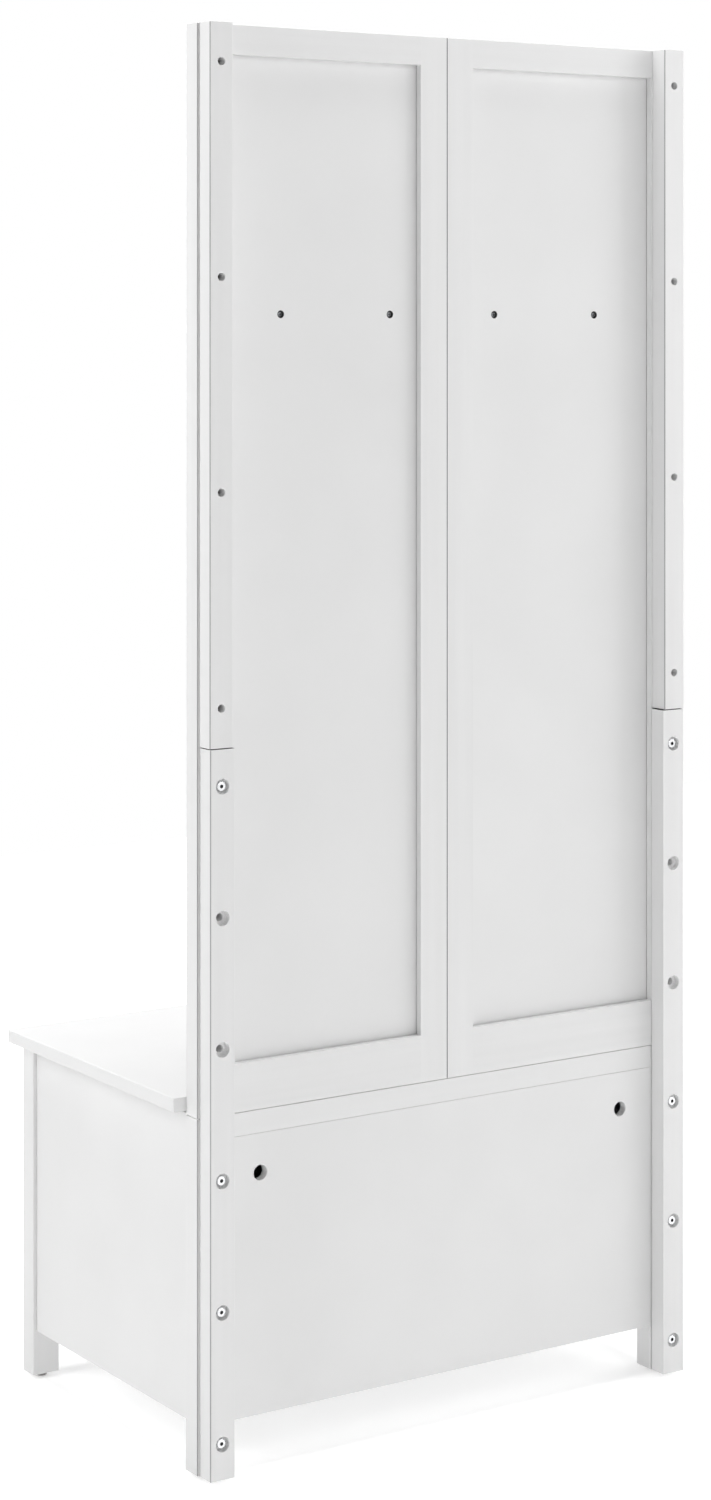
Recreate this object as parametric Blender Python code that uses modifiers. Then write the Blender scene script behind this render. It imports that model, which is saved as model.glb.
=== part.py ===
"""Hall tree with coat hooks: a storage bench with a lift-up seat and a tall two-frame back.

Units are metres and +Z is up. The seat's front faces -Y, and the back, which stands against a
wall, faces +Y. The origin is at the middle of the footprint, on the floor. "Right" is +X, as
seen by someone standing in front of the bench.
"""

import math

import bmesh
import bpy
from mathutils import Vector

# ---------------------------------------------------------------------------
# Driving dimensions
# ---------------------------------------------------------------------------
CARCASS_WIDTH = 0.767          # over the outer faces of the legs and the outer stiles
STRUCTURE_HEIGHT = 1.830       # leg bottoms to the top of the back
BENCH_HEIGHT = 0.450           # leg bottoms to the top of the bench box
BENCH_DEPTH = 0.477            # front legs' front faces to the rear legs' rear faces
TOUCH_GAP = 0.0003             # between pieces that touch
EDGE_ROUND = 0.0012            # eased edges of the painted boards

# Legs and the glides under them
LEG_WIDTH = 0.040
LEG_THICKNESS = 0.030
LEG_SHORT_BY = 0.0005          # a leg's top stays this far below the bench's top edge
GLIDE_HEIGHT = 0.006
GLIDE_RADIUS = 0.0085
GLIDE_NAIL_RADIUS = 0.0015
GLIDE_NAIL_LENGTH = 0.014
GLIDE_EDGE = 0.001             # chamfer round the foot

# Bench boards
FOOT_CLEARANCE = 0.061         # leg bottoms to the undersides of the side, front and back boards
PANEL_INSET = 0.0052           # side and front boards sit back from the legs' faces
SIDE_THICKNESS = 0.015
BACK_PANEL_THICKNESS = 0.012
BACK_RAIL_HEIGHT = 0.030
BACK_RAIL_THICKNESS = 0.018
BOTTOM_THICKNESS = 0.012
CLEAT_SIZE = 0.015
FRONT_THICKNESS = 0.018
FRONT_TOP_RAIL_HEIGHT = 0.050
FRONT_BOTTOM_RAIL_HEIGHT = 0.062
FRONT_MUNTIN_WIDTH = 0.042
FRONT_PANEL_THICKNESS = 0.006
FRONT_PANEL_RECESS = 0.005
VENT_RADIUS = 0.010
VENT_FROM_CENTRE = 0.2905
VENT_DROP = 0.081              # bench top to the vents' centres

# Seat lid
SEAT_THICKNESS = 0.018
SEAT_SIDE_OVERHANG = 0.018
SEAT_FRONT_OVERHANG = 0.0115
SEAT_LIFT = 0.0044             # bench top to the seat's underside, filled by the bumpers
SEAT_EDGE_ROUND = 0.002
BUMPER_RADIUS = 0.005
BUMPER_TIP_RADIUS = 0.00375
BUMPER_SHOULDER = 0.6          # share of its height above the taper to the tip

# Back frames
FRAME_THICKNESS = 0.028
OUTER_STILE_WIDTH = 0.038
INNER_STILE_WIDTH = 0.042
TOP_RAIL_HEIGHT = 0.038
BOTTOM_RAIL_HEIGHT = 0.062
BACK_PANEL_RECESS = 0.0107     # frame's rear face to the panel's rear face
BACK_FRAME_PANEL_THICKNESS = 0.009
GROOVE_DEPTH = 0.009
TONGUE_LENGTH = 0.0085
GROOVE_CLEARANCE = 0.0003      # each side of a panel or a tongue in its groove
CENTRE_SEAM = 0.0008           # between the two frames

# Battens that tie the back to the bench
BATTEN_THICKNESS = 0.027
BATTEN_JOINT_HEIGHT = 0.917    # leg bottoms to the joint between the lower and upper battens
BATTEN_JOINT_GAP = 0.0012
UPPER_BATTEN_WIDTH = 0.034
UPPER_BATTEN_SETBACK = 0.0021  # in from the stile's outer face
LOWER_BATTEN_WIDTH = 0.036
LOWER_BATTEN_SETBACK = 0.0028

# Holes and screws in the upper battens
UPPER_HOLE_COUNT = 4
UPPER_HOLE_FROM_END = 0.050
UPPER_HOLE_RADIUS = 0.00525
UPPER_HOLE_DEPTH = 0.014
UPPER_PILOT_RADIUS = 0.002

# Holes and bolts in the lower battens
BOLT_HOLE_COUNT = 6
BOLT_FIRST_HEIGHT = 0.045
BOLT_SPACING = 0.165
EMPTY_BOLT_HOLES = (3, 4)      # counted from the floor, these two hold no bolt
COUNTERBORE_RADIUS = 0.00975
COUNTERBORE_DEPTH = 0.008
BOLT_HOLE_RADIUS = 0.005
BOLT_HEAD_RADIUS = 0.006
BOLT_HEAD_HEIGHT = 0.005
BOLT_SHANK_RADIUS = 0.003
BOLT_GRIP = 0.018              # length of the shank beyond the batten
BOLT_BORE_CLEARANCE = 0.0004
BOLT_HEAD_CHAMFER = 0.00072
HEX_SOCKET_RADIUS = 0.0023
HEX_SOCKET_DEPTH = 0.003

# Coat hooks, each held by one screw from behind
HOOK_HEIGHT = 1.463            # leg bottoms to the hooks' screws
HOOK_SPACING = 0.169
HOOK_COUNT = 4
HOOK_BASE_RADIUS = 0.017
HOOK_BASE_THICKNESS = 0.005
HOOK_WIRE_RADIUS = 0.0048
HOOK_UPPER_BALL = 0.0085
HOOK_LOWER_BALL = 0.0068
HOOK_NECK_COLLAR = 0.0022      # raised round the bar where it leaves the base
HOOK_NECK_RISE = 0.002
HOOK_RIM_WIDTH = 0.0028        # of the slope round the base's face
HOOK_RIM_HEIGHT = 0.00255
HOOK_CROWN_DROP = 0.0007       # from the middle of the base's face to its slope
# How far forward and how high the middle of each prong runs
HOOK_UPPER_ROUTE = ((0.003, 0), (0.022, 0), (0.044, 0.006), (0.057, 0.024), (0.061, 0.047))
HOOK_LOWER_ROUTE = ((0.015, 0), (0.0175, -0.016), (0.029, -0.030), (0.042, -0.027),
                    (0.0485, -0.015))
HOOK_SCREW_RADIUS = 0.002
HOOK_SCREW_HEAD_RADIUS = 0.0036
HOOK_SCREW_HEAD_HEIGHT = 0.0022
HOOK_SCREW_CROWN = ((0.60, 0.93), (0.93, 0.60))   # shares of the head's radius and height
HOOK_SCREW_GRIP = 0.010        # length of the thread inside the hook
HOOK_COUNTERBORE_RADIUS = 0.0048
HOOK_COUNTERBORE_DEPTH = 0.004
SCREW_BORE_CLEARANCE = 0.0004

# Seat hinges: closed butt hinges between the seat's rear edge and the back frames
HINGE_FROM_CENTRE = 0.265
HINGE_LENGTH = 0.060
HINGE_LEAF_HEIGHT = 0.013
HINGE_LEAF_THICKNESS = 0.0012
KNUCKLE_RADIUS = 0.003
PIN_RADIUS = 0.0013
PIN_CLEARANCE = 0.0004
PIN_HEAD_RADIUS = 0.0026
PIN_HEAD_THICKNESS = 0.001
SEAT_TAB_DROP = 0.0021         # hinge axis to the top of the seat leaf's tab
LEAF_EDGE_ROUND = 0.00012

# Meshing
ROUND_STEPS = 16
BALL_SEGMENTS = 12
BALL_RINGS = 7
BAR_RING_QUARTER = 2           # faces in a quarter of a hook bar's ring, less one
BAR_STEPS = 3                  # rings from one point of a hook's route to the next
SHARP_ANGLE = math.radians(35)
POLE_WELD = 0.00002            # joins the points where a turned outline meets its axis
BAR_WELD = 0.00001             # joins a hook bar's end caps to its wall

# ---------------------------------------------------------------------------
# Planes that follow from the driving dimensions
# ---------------------------------------------------------------------------
HALF_WIDTH = CARCASS_WIDTH / 2
TOTAL_DEPTH = BATTEN_THICKNESS + TOUCH_GAP + BENCH_DEPTH + SEAT_FRONT_OVERHANG
REAR_Y = TOTAL_DEPTH / 2
BATTEN_FRONT_Y = REAR_Y - BATTEN_THICKNESS
CARCASS_REAR_Y = BATTEN_FRONT_Y - TOUCH_GAP
CARCASS_FRONT_Y = CARCASS_REAR_Y - BENCH_DEPTH
FRAME_FRONT_Y = CARCASS_REAR_Y - FRAME_THICKNESS
LEG_BOTTOM_Z = GLIDE_HEIGHT
BOARD_BOTTOM_Z = LEG_BOTTOM_Z + FOOT_CLEARANCE
BENCH_TOP_Z = LEG_BOTTOM_Z + BENCH_HEIGHT
FRAME_BOTTOM_Z = BENCH_TOP_Z
TOP_Z = LEG_BOTTOM_Z + STRUCTURE_HEIGHT
LEG_INNER_X = HALF_WIDTH - LEG_WIDTH
SIDE_INNER_X = HALF_WIDTH - PANEL_INSET - SIDE_THICKNESS
REAR_LEG_FRONT_Y = CARCASS_REAR_Y - LEG_THICKNESS
FRONT_LEG_REAR_Y = CARCASS_FRONT_Y + LEG_THICKNESS
FRONT_FACE_Y = CARCASS_FRONT_Y + PANEL_INSET
FRONT_INNER_Y = FRONT_FACE_Y + FRONT_THICKNESS
SEAT_BOTTOM_Z = BENCH_TOP_Z + SEAT_LIFT
SEAT_TOP_Z = SEAT_BOTTOM_Z + SEAT_THICKNESS
SEAT_FRONT_Y = CARCASS_FRONT_Y - SEAT_FRONT_OVERHANG
HINGE_AXIS_Y = FRAME_FRONT_Y - TOUCH_GAP - KNUCKLE_RADIUS
HINGE_AXIS_Z = SEAT_TOP_Z + TOUCH_GAP + KNUCKLE_RADIUS
SEAT_REAR_Y = HINGE_AXIS_Y
PANEL_REAR_Y = CARCASS_REAR_Y - BACK_PANEL_RECESS
PANEL_FRONT_Y = PANEL_REAR_Y - BACK_FRAME_PANEL_THICKNESS

SIDES = (("right", 1), ("left", -1))

FACING_REAR = (-math.pi / 2, 0, 0)   # turns a piece's own +Z to the rear, +Y


# ---------------------------------------------------------------------------
# Scene helpers
# ---------------------------------------------------------------------------
def empty_scene():
    """Remove every object, so the script starts from nothing."""
    for scene_object in list(bpy.data.objects):
        bpy.data.objects.remove(scene_object, do_unlink=True)


def new_collection(name):
    """A collection of that name in the scene."""
    collection = bpy.data.collections.new(name)
    bpy.context.scene.collection.children.link(collection)
    return collection


def new_material(name, colour, roughness, metallic):
    """A plain material of one colour, roughness and metallic value."""
    material = bpy.data.materials.new(name)
    material.use_nodes = True
    shader = material.node_tree.nodes["Principled BSDF"]
    shader.inputs["Base Color"].default_value = (*colour, 1)
    shader.inputs["Roughness"].default_value = roughness
    shader.inputs["Metallic"].default_value = metallic
    return material


def make_materials():
    """One material for each kind of surface."""
    return {
        "white_paint": new_material("white_paint", (0.86, 0.86, 0.86), 0.45, 0.0),
        "seat_paint": new_material("seat_paint", (0.88, 0.88, 0.88), 0.40, 0.0),
        "zinc": new_material("zinc", (0.60, 0.61, 0.62), 0.35, 1.0),
        "nickel": new_material("nickel", (0.66, 0.64, 0.61), 0.28, 1.0),
        "hinge_steel": new_material("hinge_steel", (0.55, 0.55, 0.56), 0.38, 1.0),
        "glide_plastic": new_material("glide_plastic", (0.05, 0.05, 0.05), 0.55, 0.0),
        "bumper_rubber": new_material("bumper_rubber", (0.75, 0.75, 0.72), 0.60, 0.0),
    }


def link_object(name, data, collection, location=(0, 0, 0), rotation=(0, 0, 0)):
    """Add an object with that data to a collection, at a place and turn."""
    linked = bpy.data.objects.new(name, data)
    collection.objects.link(linked)
    linked.location = location
    linked.rotation_euler = rotation
    return linked


def add_piece(name, mesh, material, location, rotation=(0, 0, 0), parent=None):
    """Add one visible piece. The location is in the world, also under a parent."""
    mesh.materials.clear()
    mesh.materials.append(MATERIALS[material])
    piece = link_object(name, mesh, PARTS, location, rotation)
    if parent is not None:
        piece.parent = parent
        piece.location = Vector(location) - parent.location
    return piece


def add_cutter(name, mesh, location=(0, 0, 0), rotation=(0, 0, 0)):
    """Add a hidden shape that cuts or joins others."""
    cutter = link_object(name, mesh, CUTTERS, location, rotation)
    cutter.hide_render = True
    cutter.display_type = "WIRE"
    return cutter


def combine(target, tool, operation):
    """Join or cut the target with the tool, exactly."""
    modifier = target.modifiers.new(tool.name, "BOOLEAN")
    modifier.operation = operation
    modifier.solver = "EXACT"
    modifier.object = tool


def finished_mesh(scene_object, name):
    """The object's mesh with its modifiers worked in."""
    graph = bpy.context.evaluated_depsgraph_get()
    mesh = bpy.data.meshes.new_from_object(scene_object.evaluated_get(graph))
    mesh.name = name
    return mesh


# ---------------------------------------------------------------------------
# Basic shapes
# ---------------------------------------------------------------------------
def add_box(shape, low, high):
    """Add a box between two corners to a bmesh."""
    low, high = Vector(low), Vector(high)
    cube = bmesh.ops.create_cube(shape, size=1)
    bmesh.ops.scale(shape, vec=high - low, verts=cube["verts"])
    bmesh.ops.translate(shape, vec=(low + high) / 2, verts=cube["verts"])


def add_rod(shape, centre, radius, length, steps=ROUND_STEPS):
    """Add a capped cylinder along Y, centred on a point, to a bmesh."""
    rod = bmesh.ops.create_cone(
        shape, cap_ends=True, segments=steps, radius1=radius, radius2=radius, depth=length)
    for vertex in rod["verts"]:
        vertex.co = Vector((vertex.co.x, vertex.co.z, -vertex.co.y)) + Vector(centre)


def mesh_from(shape, name):
    """Turn a bmesh into a mesh and free it."""
    mesh = bpy.data.meshes.new(name)
    shape.to_mesh(mesh)
    shape.free()
    return mesh


def box_cutter(name, boxes):
    """A hidden group of boxes, each given by its two corners."""
    shape = bmesh.new()
    for low, high in boxes:
        add_box(shape, low, high)
    return add_cutter(name, mesh_from(shape, name))


def bore_cutter(name, x, heights, rear_y, front_y, radius):
    """A hidden group of bores along Y, one at each height, between two planes."""
    shape = bmesh.new()
    middle, length = (rear_y + front_y) / 2, rear_y - front_y
    for height in heights:
        add_rod(shape, (x, middle, height), radius, length)
    return add_cutter(name, mesh_from(shape, name))


def board(name, low, high, material="white_paint", round_by=EDGE_ROUND, parent=None):
    """A board between two corners, with eased edges and its own centre as origin."""
    low, high = Vector(low), Vector(high)
    shape = bmesh.new()
    add_box(shape, (low - high) / 2, (high - low) / 2)
    piece = add_piece(name, mesh_from(shape, name), material, (low + high) / 2, parent=parent)
    easing = piece.modifiers.new("eased_edges", "BEVEL")
    easing.width = round_by
    easing.segments = 1
    easing.limit_method = "ANGLE"
    return piece


def mirrored_span(sign, inner, outer):
    """The X range from an inner to an outer distance on one side of the middle."""
    return (inner, outer) if sign > 0 else (-outer, -inner)


def side_board(name, sign, inner, outer, y_range, z_range):
    """A board on one side of the middle, given by its distances from the middle."""
    x_low, x_high = mirrored_span(sign, inner, outer)
    return board(name, (x_low, y_range[0], z_range[0]), (x_high, y_range[1], z_range[1]))


def turned_mesh(name, profile):
    """A solid of revolution about Z. The profile is (radius, height), top to bottom."""
    mesh = bpy.data.meshes.new(name + "_profile")
    points = [(radius, 0, height) for radius, height in profile]
    mesh.from_pydata(points, [(i, i + 1) for i in range(len(points) - 1)], [])
    blank = link_object(name + "_blank", mesh, CUTTERS)
    turning = blank.modifiers.new("turning", "SCREW")
    turning.steps = ROUND_STEPS
    turning.render_steps = ROUND_STEPS
    turning.use_merge_vertices = True
    turning.merge_threshold = POLE_WELD
    turned = finished_mesh(blank, name)
    bpy.data.objects.remove(blank, do_unlink=True)
    smooth_rounds(turned)
    return turned


def smooth_rounds(mesh):
    """Shade a mesh smooth, apart from its sharp edges."""
    mesh.shade_smooth()
    mesh.set_sharp_from_angle(angle=SHARP_ANGLE)


# ---------------------------------------------------------------------------
# Bench
# ---------------------------------------------------------------------------
def bolt_heights():
    """Heights of the six bolt holes in a lower batten."""
    return [LEG_BOTTOM_Z + BOLT_FIRST_HEIGHT + i * BOLT_SPACING for i in range(BOLT_HOLE_COUNT)]


def lower_batten_x(sign):
    """Middle of a lower batten's width, where its bolts run."""
    return sign * (HALF_WIDTH - LOWER_BATTEN_SETBACK - LOWER_BATTEN_WIDTH / 2)


def bolt_bores(side, sign):
    """The bores that a lower batten's bolts screw into, in the leg and the stile before it."""
    front = BATTEN_FRONT_Y - BOLT_GRIP - BOLT_BORE_CLEARANCE
    radius = BOLT_SHANK_RADIUS + BOLT_BORE_CLEARANCE
    return bore_cutter(
        side + "_bolt_bores", lower_batten_x(sign), bolt_heights(), REAR_Y, front, radius)


def glide_bore(name, x, y):
    """The hole for a glide's nail in the bottom of a leg."""
    depth = GLIDE_NAIL_LENGTH + TOUCH_GAP
    shape = bmesh.new()
    bmesh.ops.create_cone(
        shape, cap_ends=True, segments=ROUND_STEPS,
        radius1=GLIDE_NAIL_RADIUS + TOUCH_GAP, radius2=GLIDE_NAIL_RADIUS + TOUCH_GAP,
        depth=2 * depth)
    return add_cutter(name, mesh_from(shape, name), (x, y, LEG_BOTTOM_Z))


def leg_centres():
    """Name, side sign and centre of each leg's cross-section."""
    x = HALF_WIDTH - LEG_WIDTH / 2
    rows = (("rear", CARCASS_REAR_Y - LEG_THICKNESS / 2),
            ("front", CARCASS_FRONT_Y + LEG_THICKNESS / 2))
    return [(row, side, sign, sign * x, y) for row, y in rows for side, sign in SIDES]


def glide_mesh():
    """A tap-in glide: a rounded foot with a nail, its origin at the leg's bottom."""
    foot_top = -TOUCH_GAP
    return turned_mesh("glide", [
        (0, GLIDE_NAIL_LENGTH),
        (GLIDE_NAIL_RADIUS, GLIDE_NAIL_LENGTH),
        (GLIDE_NAIL_RADIUS, foot_top),
        (GLIDE_RADIUS, foot_top),
        (GLIDE_RADIUS, GLIDE_EDGE - GLIDE_HEIGHT),
        (GLIDE_RADIUS - GLIDE_EDGE, -GLIDE_HEIGHT),
        (0, -GLIDE_HEIGHT)])


def make_legs(bores):
    """Four legs, each on a tap-in glide."""
    glide = glide_mesh()
    for row, side, sign, x, y in leg_centres():
        half = Vector((LEG_WIDTH / 2, LEG_THICKNESS / 2, 0))
        low = Vector((x, y, LEG_BOTTOM_Z)) - half
        high = Vector((x, y, BENCH_TOP_Z - LEG_SHORT_BY)) + half
        name = row + "_leg_" + side
        leg = board(name, low, high)
        combine(leg, glide_bore(name + "_nail_bore", x, y), "DIFFERENCE")
        if row == "rear":
            combine(leg, bores[side], "DIFFERENCE")
        add_piece("glide_" + row + "_" + side, glide, "glide_plastic", (x, y, LEG_BOTTOM_Z))


def make_bench_sides():
    """A plain panel between the front and rear leg on each side, with a cleat inside."""
    y_range = (FRONT_LEG_REAR_Y + TOUCH_GAP, REAR_LEG_FRONT_Y - TOUCH_GAP)
    cleat_outer = SIDE_INNER_X - TOUCH_GAP
    for side, sign in SIDES:
        side_board("side_panel_" + side, sign, SIDE_INNER_X, HALF_WIDTH - PANEL_INSET,
                   y_range, (BOARD_BOTTOM_Z, BENCH_TOP_Z - LEG_SHORT_BY))
        side_board("bottom_cleat_" + side, sign, cleat_outer - CLEAT_SIZE, cleat_outer,
                   y_range, (BOARD_BOTTOM_Z, BOARD_BOTTOM_Z + CLEAT_SIZE))


def make_bench_back():
    """The bench's back panel, with its two vents, and the rail above it."""
    reach = LEG_INNER_X - TOUCH_GAP
    rail_bottom = BENCH_TOP_Z - BACK_RAIL_HEIGHT
    board("bench_back_rail", (-reach, CARCASS_REAR_Y - BACK_RAIL_THICKNESS, rail_bottom),
          (reach, CARCASS_REAR_Y, BENCH_TOP_Z - LEG_SHORT_BY))
    panel_front = CARCASS_REAR_Y - BACK_PANEL_THICKNESS
    panel = board("bench_back_panel", (-reach, panel_front, BOARD_BOTTOM_Z),
                  (reach, CARCASS_REAR_Y, rail_bottom - TOUCH_GAP), round_by=EDGE_ROUND / 2)
    for side, sign in SIDES:
        vent = bore_cutter("vent_" + side, sign * VENT_FROM_CENTRE, [BENCH_TOP_Z - VENT_DROP],
                           REAR_Y, panel_front - BATTEN_THICKNESS, VENT_RADIUS)
        combine(panel, vent, "DIFFERENCE")


def make_bench_bottom():
    """The bench's floor, notched around the legs and lying on the two cleats."""
    bottom = BOARD_BOTTOM_Z + CLEAT_SIZE + TOUCH_GAP
    top = bottom + BOTTOM_THICKNESS
    reach = SIDE_INNER_X - TOUCH_GAP
    rear = CARCASS_REAR_Y - BACK_PANEL_THICKNESS - TOUCH_GAP
    floor = board("bench_bottom", (-reach, FRONT_INNER_Y + TOUCH_GAP, bottom), (reach, rear, top),
                  round_by=EDGE_ROUND / 2)
    spare = Vector((LEG_WIDTH / 2 + TOUCH_GAP, LEG_THICKNESS / 2 + TOUCH_GAP, 0))
    notches = []
    for _row, _side, _sign, x, y in leg_centres():
        low = Vector((x, y, BOARD_BOTTOM_Z)) - spare
        high = Vector((x, y, BENCH_TOP_Z)) + spare
        notches.append((low, high))
    combine(floor, box_cutter("leg_notches", notches), "DIFFERENCE")


def front_groove_y():
    """Y range of the groove that holds the bench's front panels."""
    front = FRONT_FACE_Y + FRONT_PANEL_RECESS - GROOVE_CLEARANCE
    return front, front + FRONT_PANEL_THICKNESS + 2 * GROOVE_CLEARANCE


def make_bench_front():
    """Two rails, a muntin between them, and two panels in their grooves."""
    reach = LEG_INNER_X - TOUCH_GAP
    low_rail_top = BOARD_BOTTOM_Z + FRONT_BOTTOM_RAIL_HEIGHT
    top_rail_bottom = BENCH_TOP_Z - FRONT_TOP_RAIL_HEIGHT
    groove_front, groove_rear = front_groove_y()
    half_muntin = FRONT_MUNTIN_WIDTH / 2
    top_rail = board("front_top_rail", (-reach, FRONT_FACE_Y, top_rail_bottom),
                     (reach, FRONT_INNER_Y, BENCH_TOP_Z - LEG_SHORT_BY))
    low_rail = board("front_bottom_rail", (-reach, FRONT_FACE_Y, BOARD_BOTTOM_Z),
                     (reach, FRONT_INNER_Y, low_rail_top))
    muntin = board("front_muntin", (-half_muntin, FRONT_FACE_Y, low_rail_top + TOUCH_GAP),
                   (half_muntin, FRONT_INNER_Y, top_rail_bottom - TOUCH_GAP))
    past = 2 * reach
    rail_grooves = box_cutter("front_rail_grooves", [
        ((-past, groove_front, top_rail_bottom - GROOVE_DEPTH),
         (past, groove_rear, top_rail_bottom + GROOVE_DEPTH)),
        ((-past, groove_front, low_rail_top - GROOVE_DEPTH),
         (past, groove_rear, low_rail_top + GROOVE_DEPTH))])
    muntin_grooves = box_cutter("front_muntin_grooves", [
        ((sign * half_muntin - GROOVE_DEPTH, groove_front, 0),
         (sign * half_muntin + GROOVE_DEPTH, groove_rear, BENCH_TOP_Z)) for _, sign in SIDES])
    combine(top_rail, rail_grooves, "DIFFERENCE")
    combine(low_rail, rail_grooves, "DIFFERENCE")
    combine(muntin, muntin_grooves, "DIFFERENCE")
    for side, sign in SIDES:
        side_board("front_panel_" + side, sign, half_muntin - TONGUE_LENGTH, reach,
                   (groove_front + GROOVE_CLEARANCE, groove_rear - GROOVE_CLEARANCE),
                   (low_rail_top - TONGUE_LENGTH, top_rail_bottom + TONGUE_LENGTH))


# ---------------------------------------------------------------------------
# Back frames
# ---------------------------------------------------------------------------
def make_back_frame(side, sign, bores):
    """One frame: two stiles with a full groove, two tongued rails and a panel."""
    y_range = (FRAME_FRONT_Y, CARCASS_REAR_Y)
    inner_low = CENTRE_SEAM / 2
    inner_high = inner_low + INNER_STILE_WIDTH
    outer_low = HALF_WIDTH - OUTER_STILE_WIDTH
    z_range = (FRAME_BOTTOM_Z, TOP_Z)
    outer = side_board("outer_stile_" + side, sign, outer_low, HALF_WIDTH, y_range, z_range)
    inner = side_board("inner_stile_" + side, sign, inner_low, inner_high, y_range, z_range)
    groove_y = (PANEL_FRONT_Y - GROOVE_CLEARANCE, PANEL_REAR_Y + GROOVE_CLEARANCE)
    stile_grooves = []
    for edge in (inner_high, outer_low):
        x_low, x_high = mirrored_span(sign, edge - GROOVE_DEPTH, edge + GROOVE_DEPTH)
        stile_grooves.append(((x_low, groove_y[0], 0), (x_high, groove_y[1], 2 * TOP_Z)))
    stile_cutter = box_cutter("stile_grooves_" + side, stile_grooves)
    combine(outer, stile_cutter, "DIFFERENCE")
    combine(inner, stile_cutter, "DIFFERENCE")
    combine(outer, bores[side], "DIFFERENCE")
    make_frame_rails(side, sign, inner_high, outer_low, groove_y)
    make_frame_panel(side, sign, inner_high, outer_low)


def make_frame_rails(side, sign, inner_high, outer_low, groove_y):
    """The top and bottom rail of one frame, each with a tongue at both ends."""
    body_low, body_high = inner_high + TOUCH_GAP, outer_low - TOUCH_GAP
    rails = (("top_rail_", TOP_Z - TOP_RAIL_HEIGHT, TOP_Z, TOP_Z - TOP_RAIL_HEIGHT),
             ("bottom_rail_", FRAME_BOTTOM_Z, FRAME_BOTTOM_Z + BOTTOM_RAIL_HEIGHT,
              FRAME_BOTTOM_Z + BOTTOM_RAIL_HEIGHT))
    for prefix, z_low, z_high, groove_z in rails:
        rail = side_board(prefix + side, sign, body_low, body_high,
                          (FRAME_FRONT_Y, CARCASS_REAR_Y), (z_low, z_high))
        x_low, x_high = mirrored_span(sign, inner_high - TONGUE_LENGTH, outer_low + TONGUE_LENGTH)
        tongue = box_cutter(prefix + side + "_tongue", [
            ((x_low, groove_y[0] + GROOVE_CLEARANCE, z_low + EDGE_ROUND),
             (x_high, groove_y[1] - GROOVE_CLEARANCE, z_high - EDGE_ROUND))])
        groove = box_cutter(prefix + side + "_groove", [
            ((-CARCASS_WIDTH, groove_y[0], groove_z - GROOVE_DEPTH),
             (CARCASS_WIDTH, groove_y[1], groove_z + GROOVE_DEPTH))])
        combine(rail, tongue, "UNION")
        combine(rail, groove, "DIFFERENCE")


def hook_positions():
    """X of each hook, evenly spaced about the middle, with the side it stands on."""
    first = -HOOK_SPACING * (HOOK_COUNT - 1) / 2
    positions = [first + i * HOOK_SPACING for i in range(HOOK_COUNT)]
    return [(i + 1, x, "right" if x > 0 else "left") for i, x in enumerate(positions)]


def make_frame_panel(side, sign, inner_high, outer_low):
    """The panel of one frame, drilled and counterbored for the hooks' screws."""
    bottom = FRAME_BOTTOM_Z + BOTTOM_RAIL_HEIGHT - TONGUE_LENGTH
    top = TOP_Z - TOP_RAIL_HEIGHT + TONGUE_LENGTH
    panel = side_board("back_panel_" + side, sign, inner_high - TONGUE_LENGTH,
                       outer_low + TONGUE_LENGTH, (PANEL_FRONT_Y, PANEL_REAR_Y), (bottom, top))
    height = LEG_BOTTOM_Z + HOOK_HEIGHT
    for number, x, hook_side in hook_positions():
        if hook_side != side:
            continue
        name = "hook_" + str(number)
        bore = bore_cutter(name + "_bore", x, [height], REAR_Y, CARCASS_FRONT_Y,
                           HOOK_SCREW_RADIUS + SCREW_BORE_CLEARANCE)
        counterbore = bore_cutter(name + "_counterbore", x, [height], REAR_Y,
                                  PANEL_REAR_Y - HOOK_COUNTERBORE_DEPTH, HOOK_COUNTERBORE_RADIUS)
        combine(panel, bore, "DIFFERENCE")
        combine(panel, counterbore, "DIFFERENCE")


# ---------------------------------------------------------------------------
# Battens and bolts
# ---------------------------------------------------------------------------
def make_upper_batten(side, sign):
    """The strip behind the upper part of an outer stile, with deep screw holes."""
    outer = HALF_WIDTH - UPPER_BATTEN_SETBACK
    inner = outer - UPPER_BATTEN_WIDTH
    bottom = LEG_BOTTOM_Z + BATTEN_JOINT_HEIGHT + BATTEN_JOINT_GAP
    batten = side_board("upper_batten_" + side, sign, inner, outer,
                        (BATTEN_FRONT_Y, REAR_Y), (bottom, TOP_Z))
    first, last = bottom + UPPER_HOLE_FROM_END, TOP_Z - UPPER_HOLE_FROM_END
    step = (last - first) / (UPPER_HOLE_COUNT - 1)
    heights = [first + i * step for i in range(UPPER_HOLE_COUNT)]
    x, past = sign * (inner + outer) / 2, BATTEN_THICKNESS
    holes = bore_cutter("upper_holes_" + side, x, heights, REAR_Y + past,
                        REAR_Y - UPPER_HOLE_DEPTH, UPPER_HOLE_RADIUS)
    pilots = bore_cutter("upper_pilots_" + side, x, heights, REAR_Y + past,
                         BATTEN_FRONT_Y - past, UPPER_PILOT_RADIUS)
    combine(batten, pilots, "DIFFERENCE")
    combine(batten, holes, "DIFFERENCE")


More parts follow.
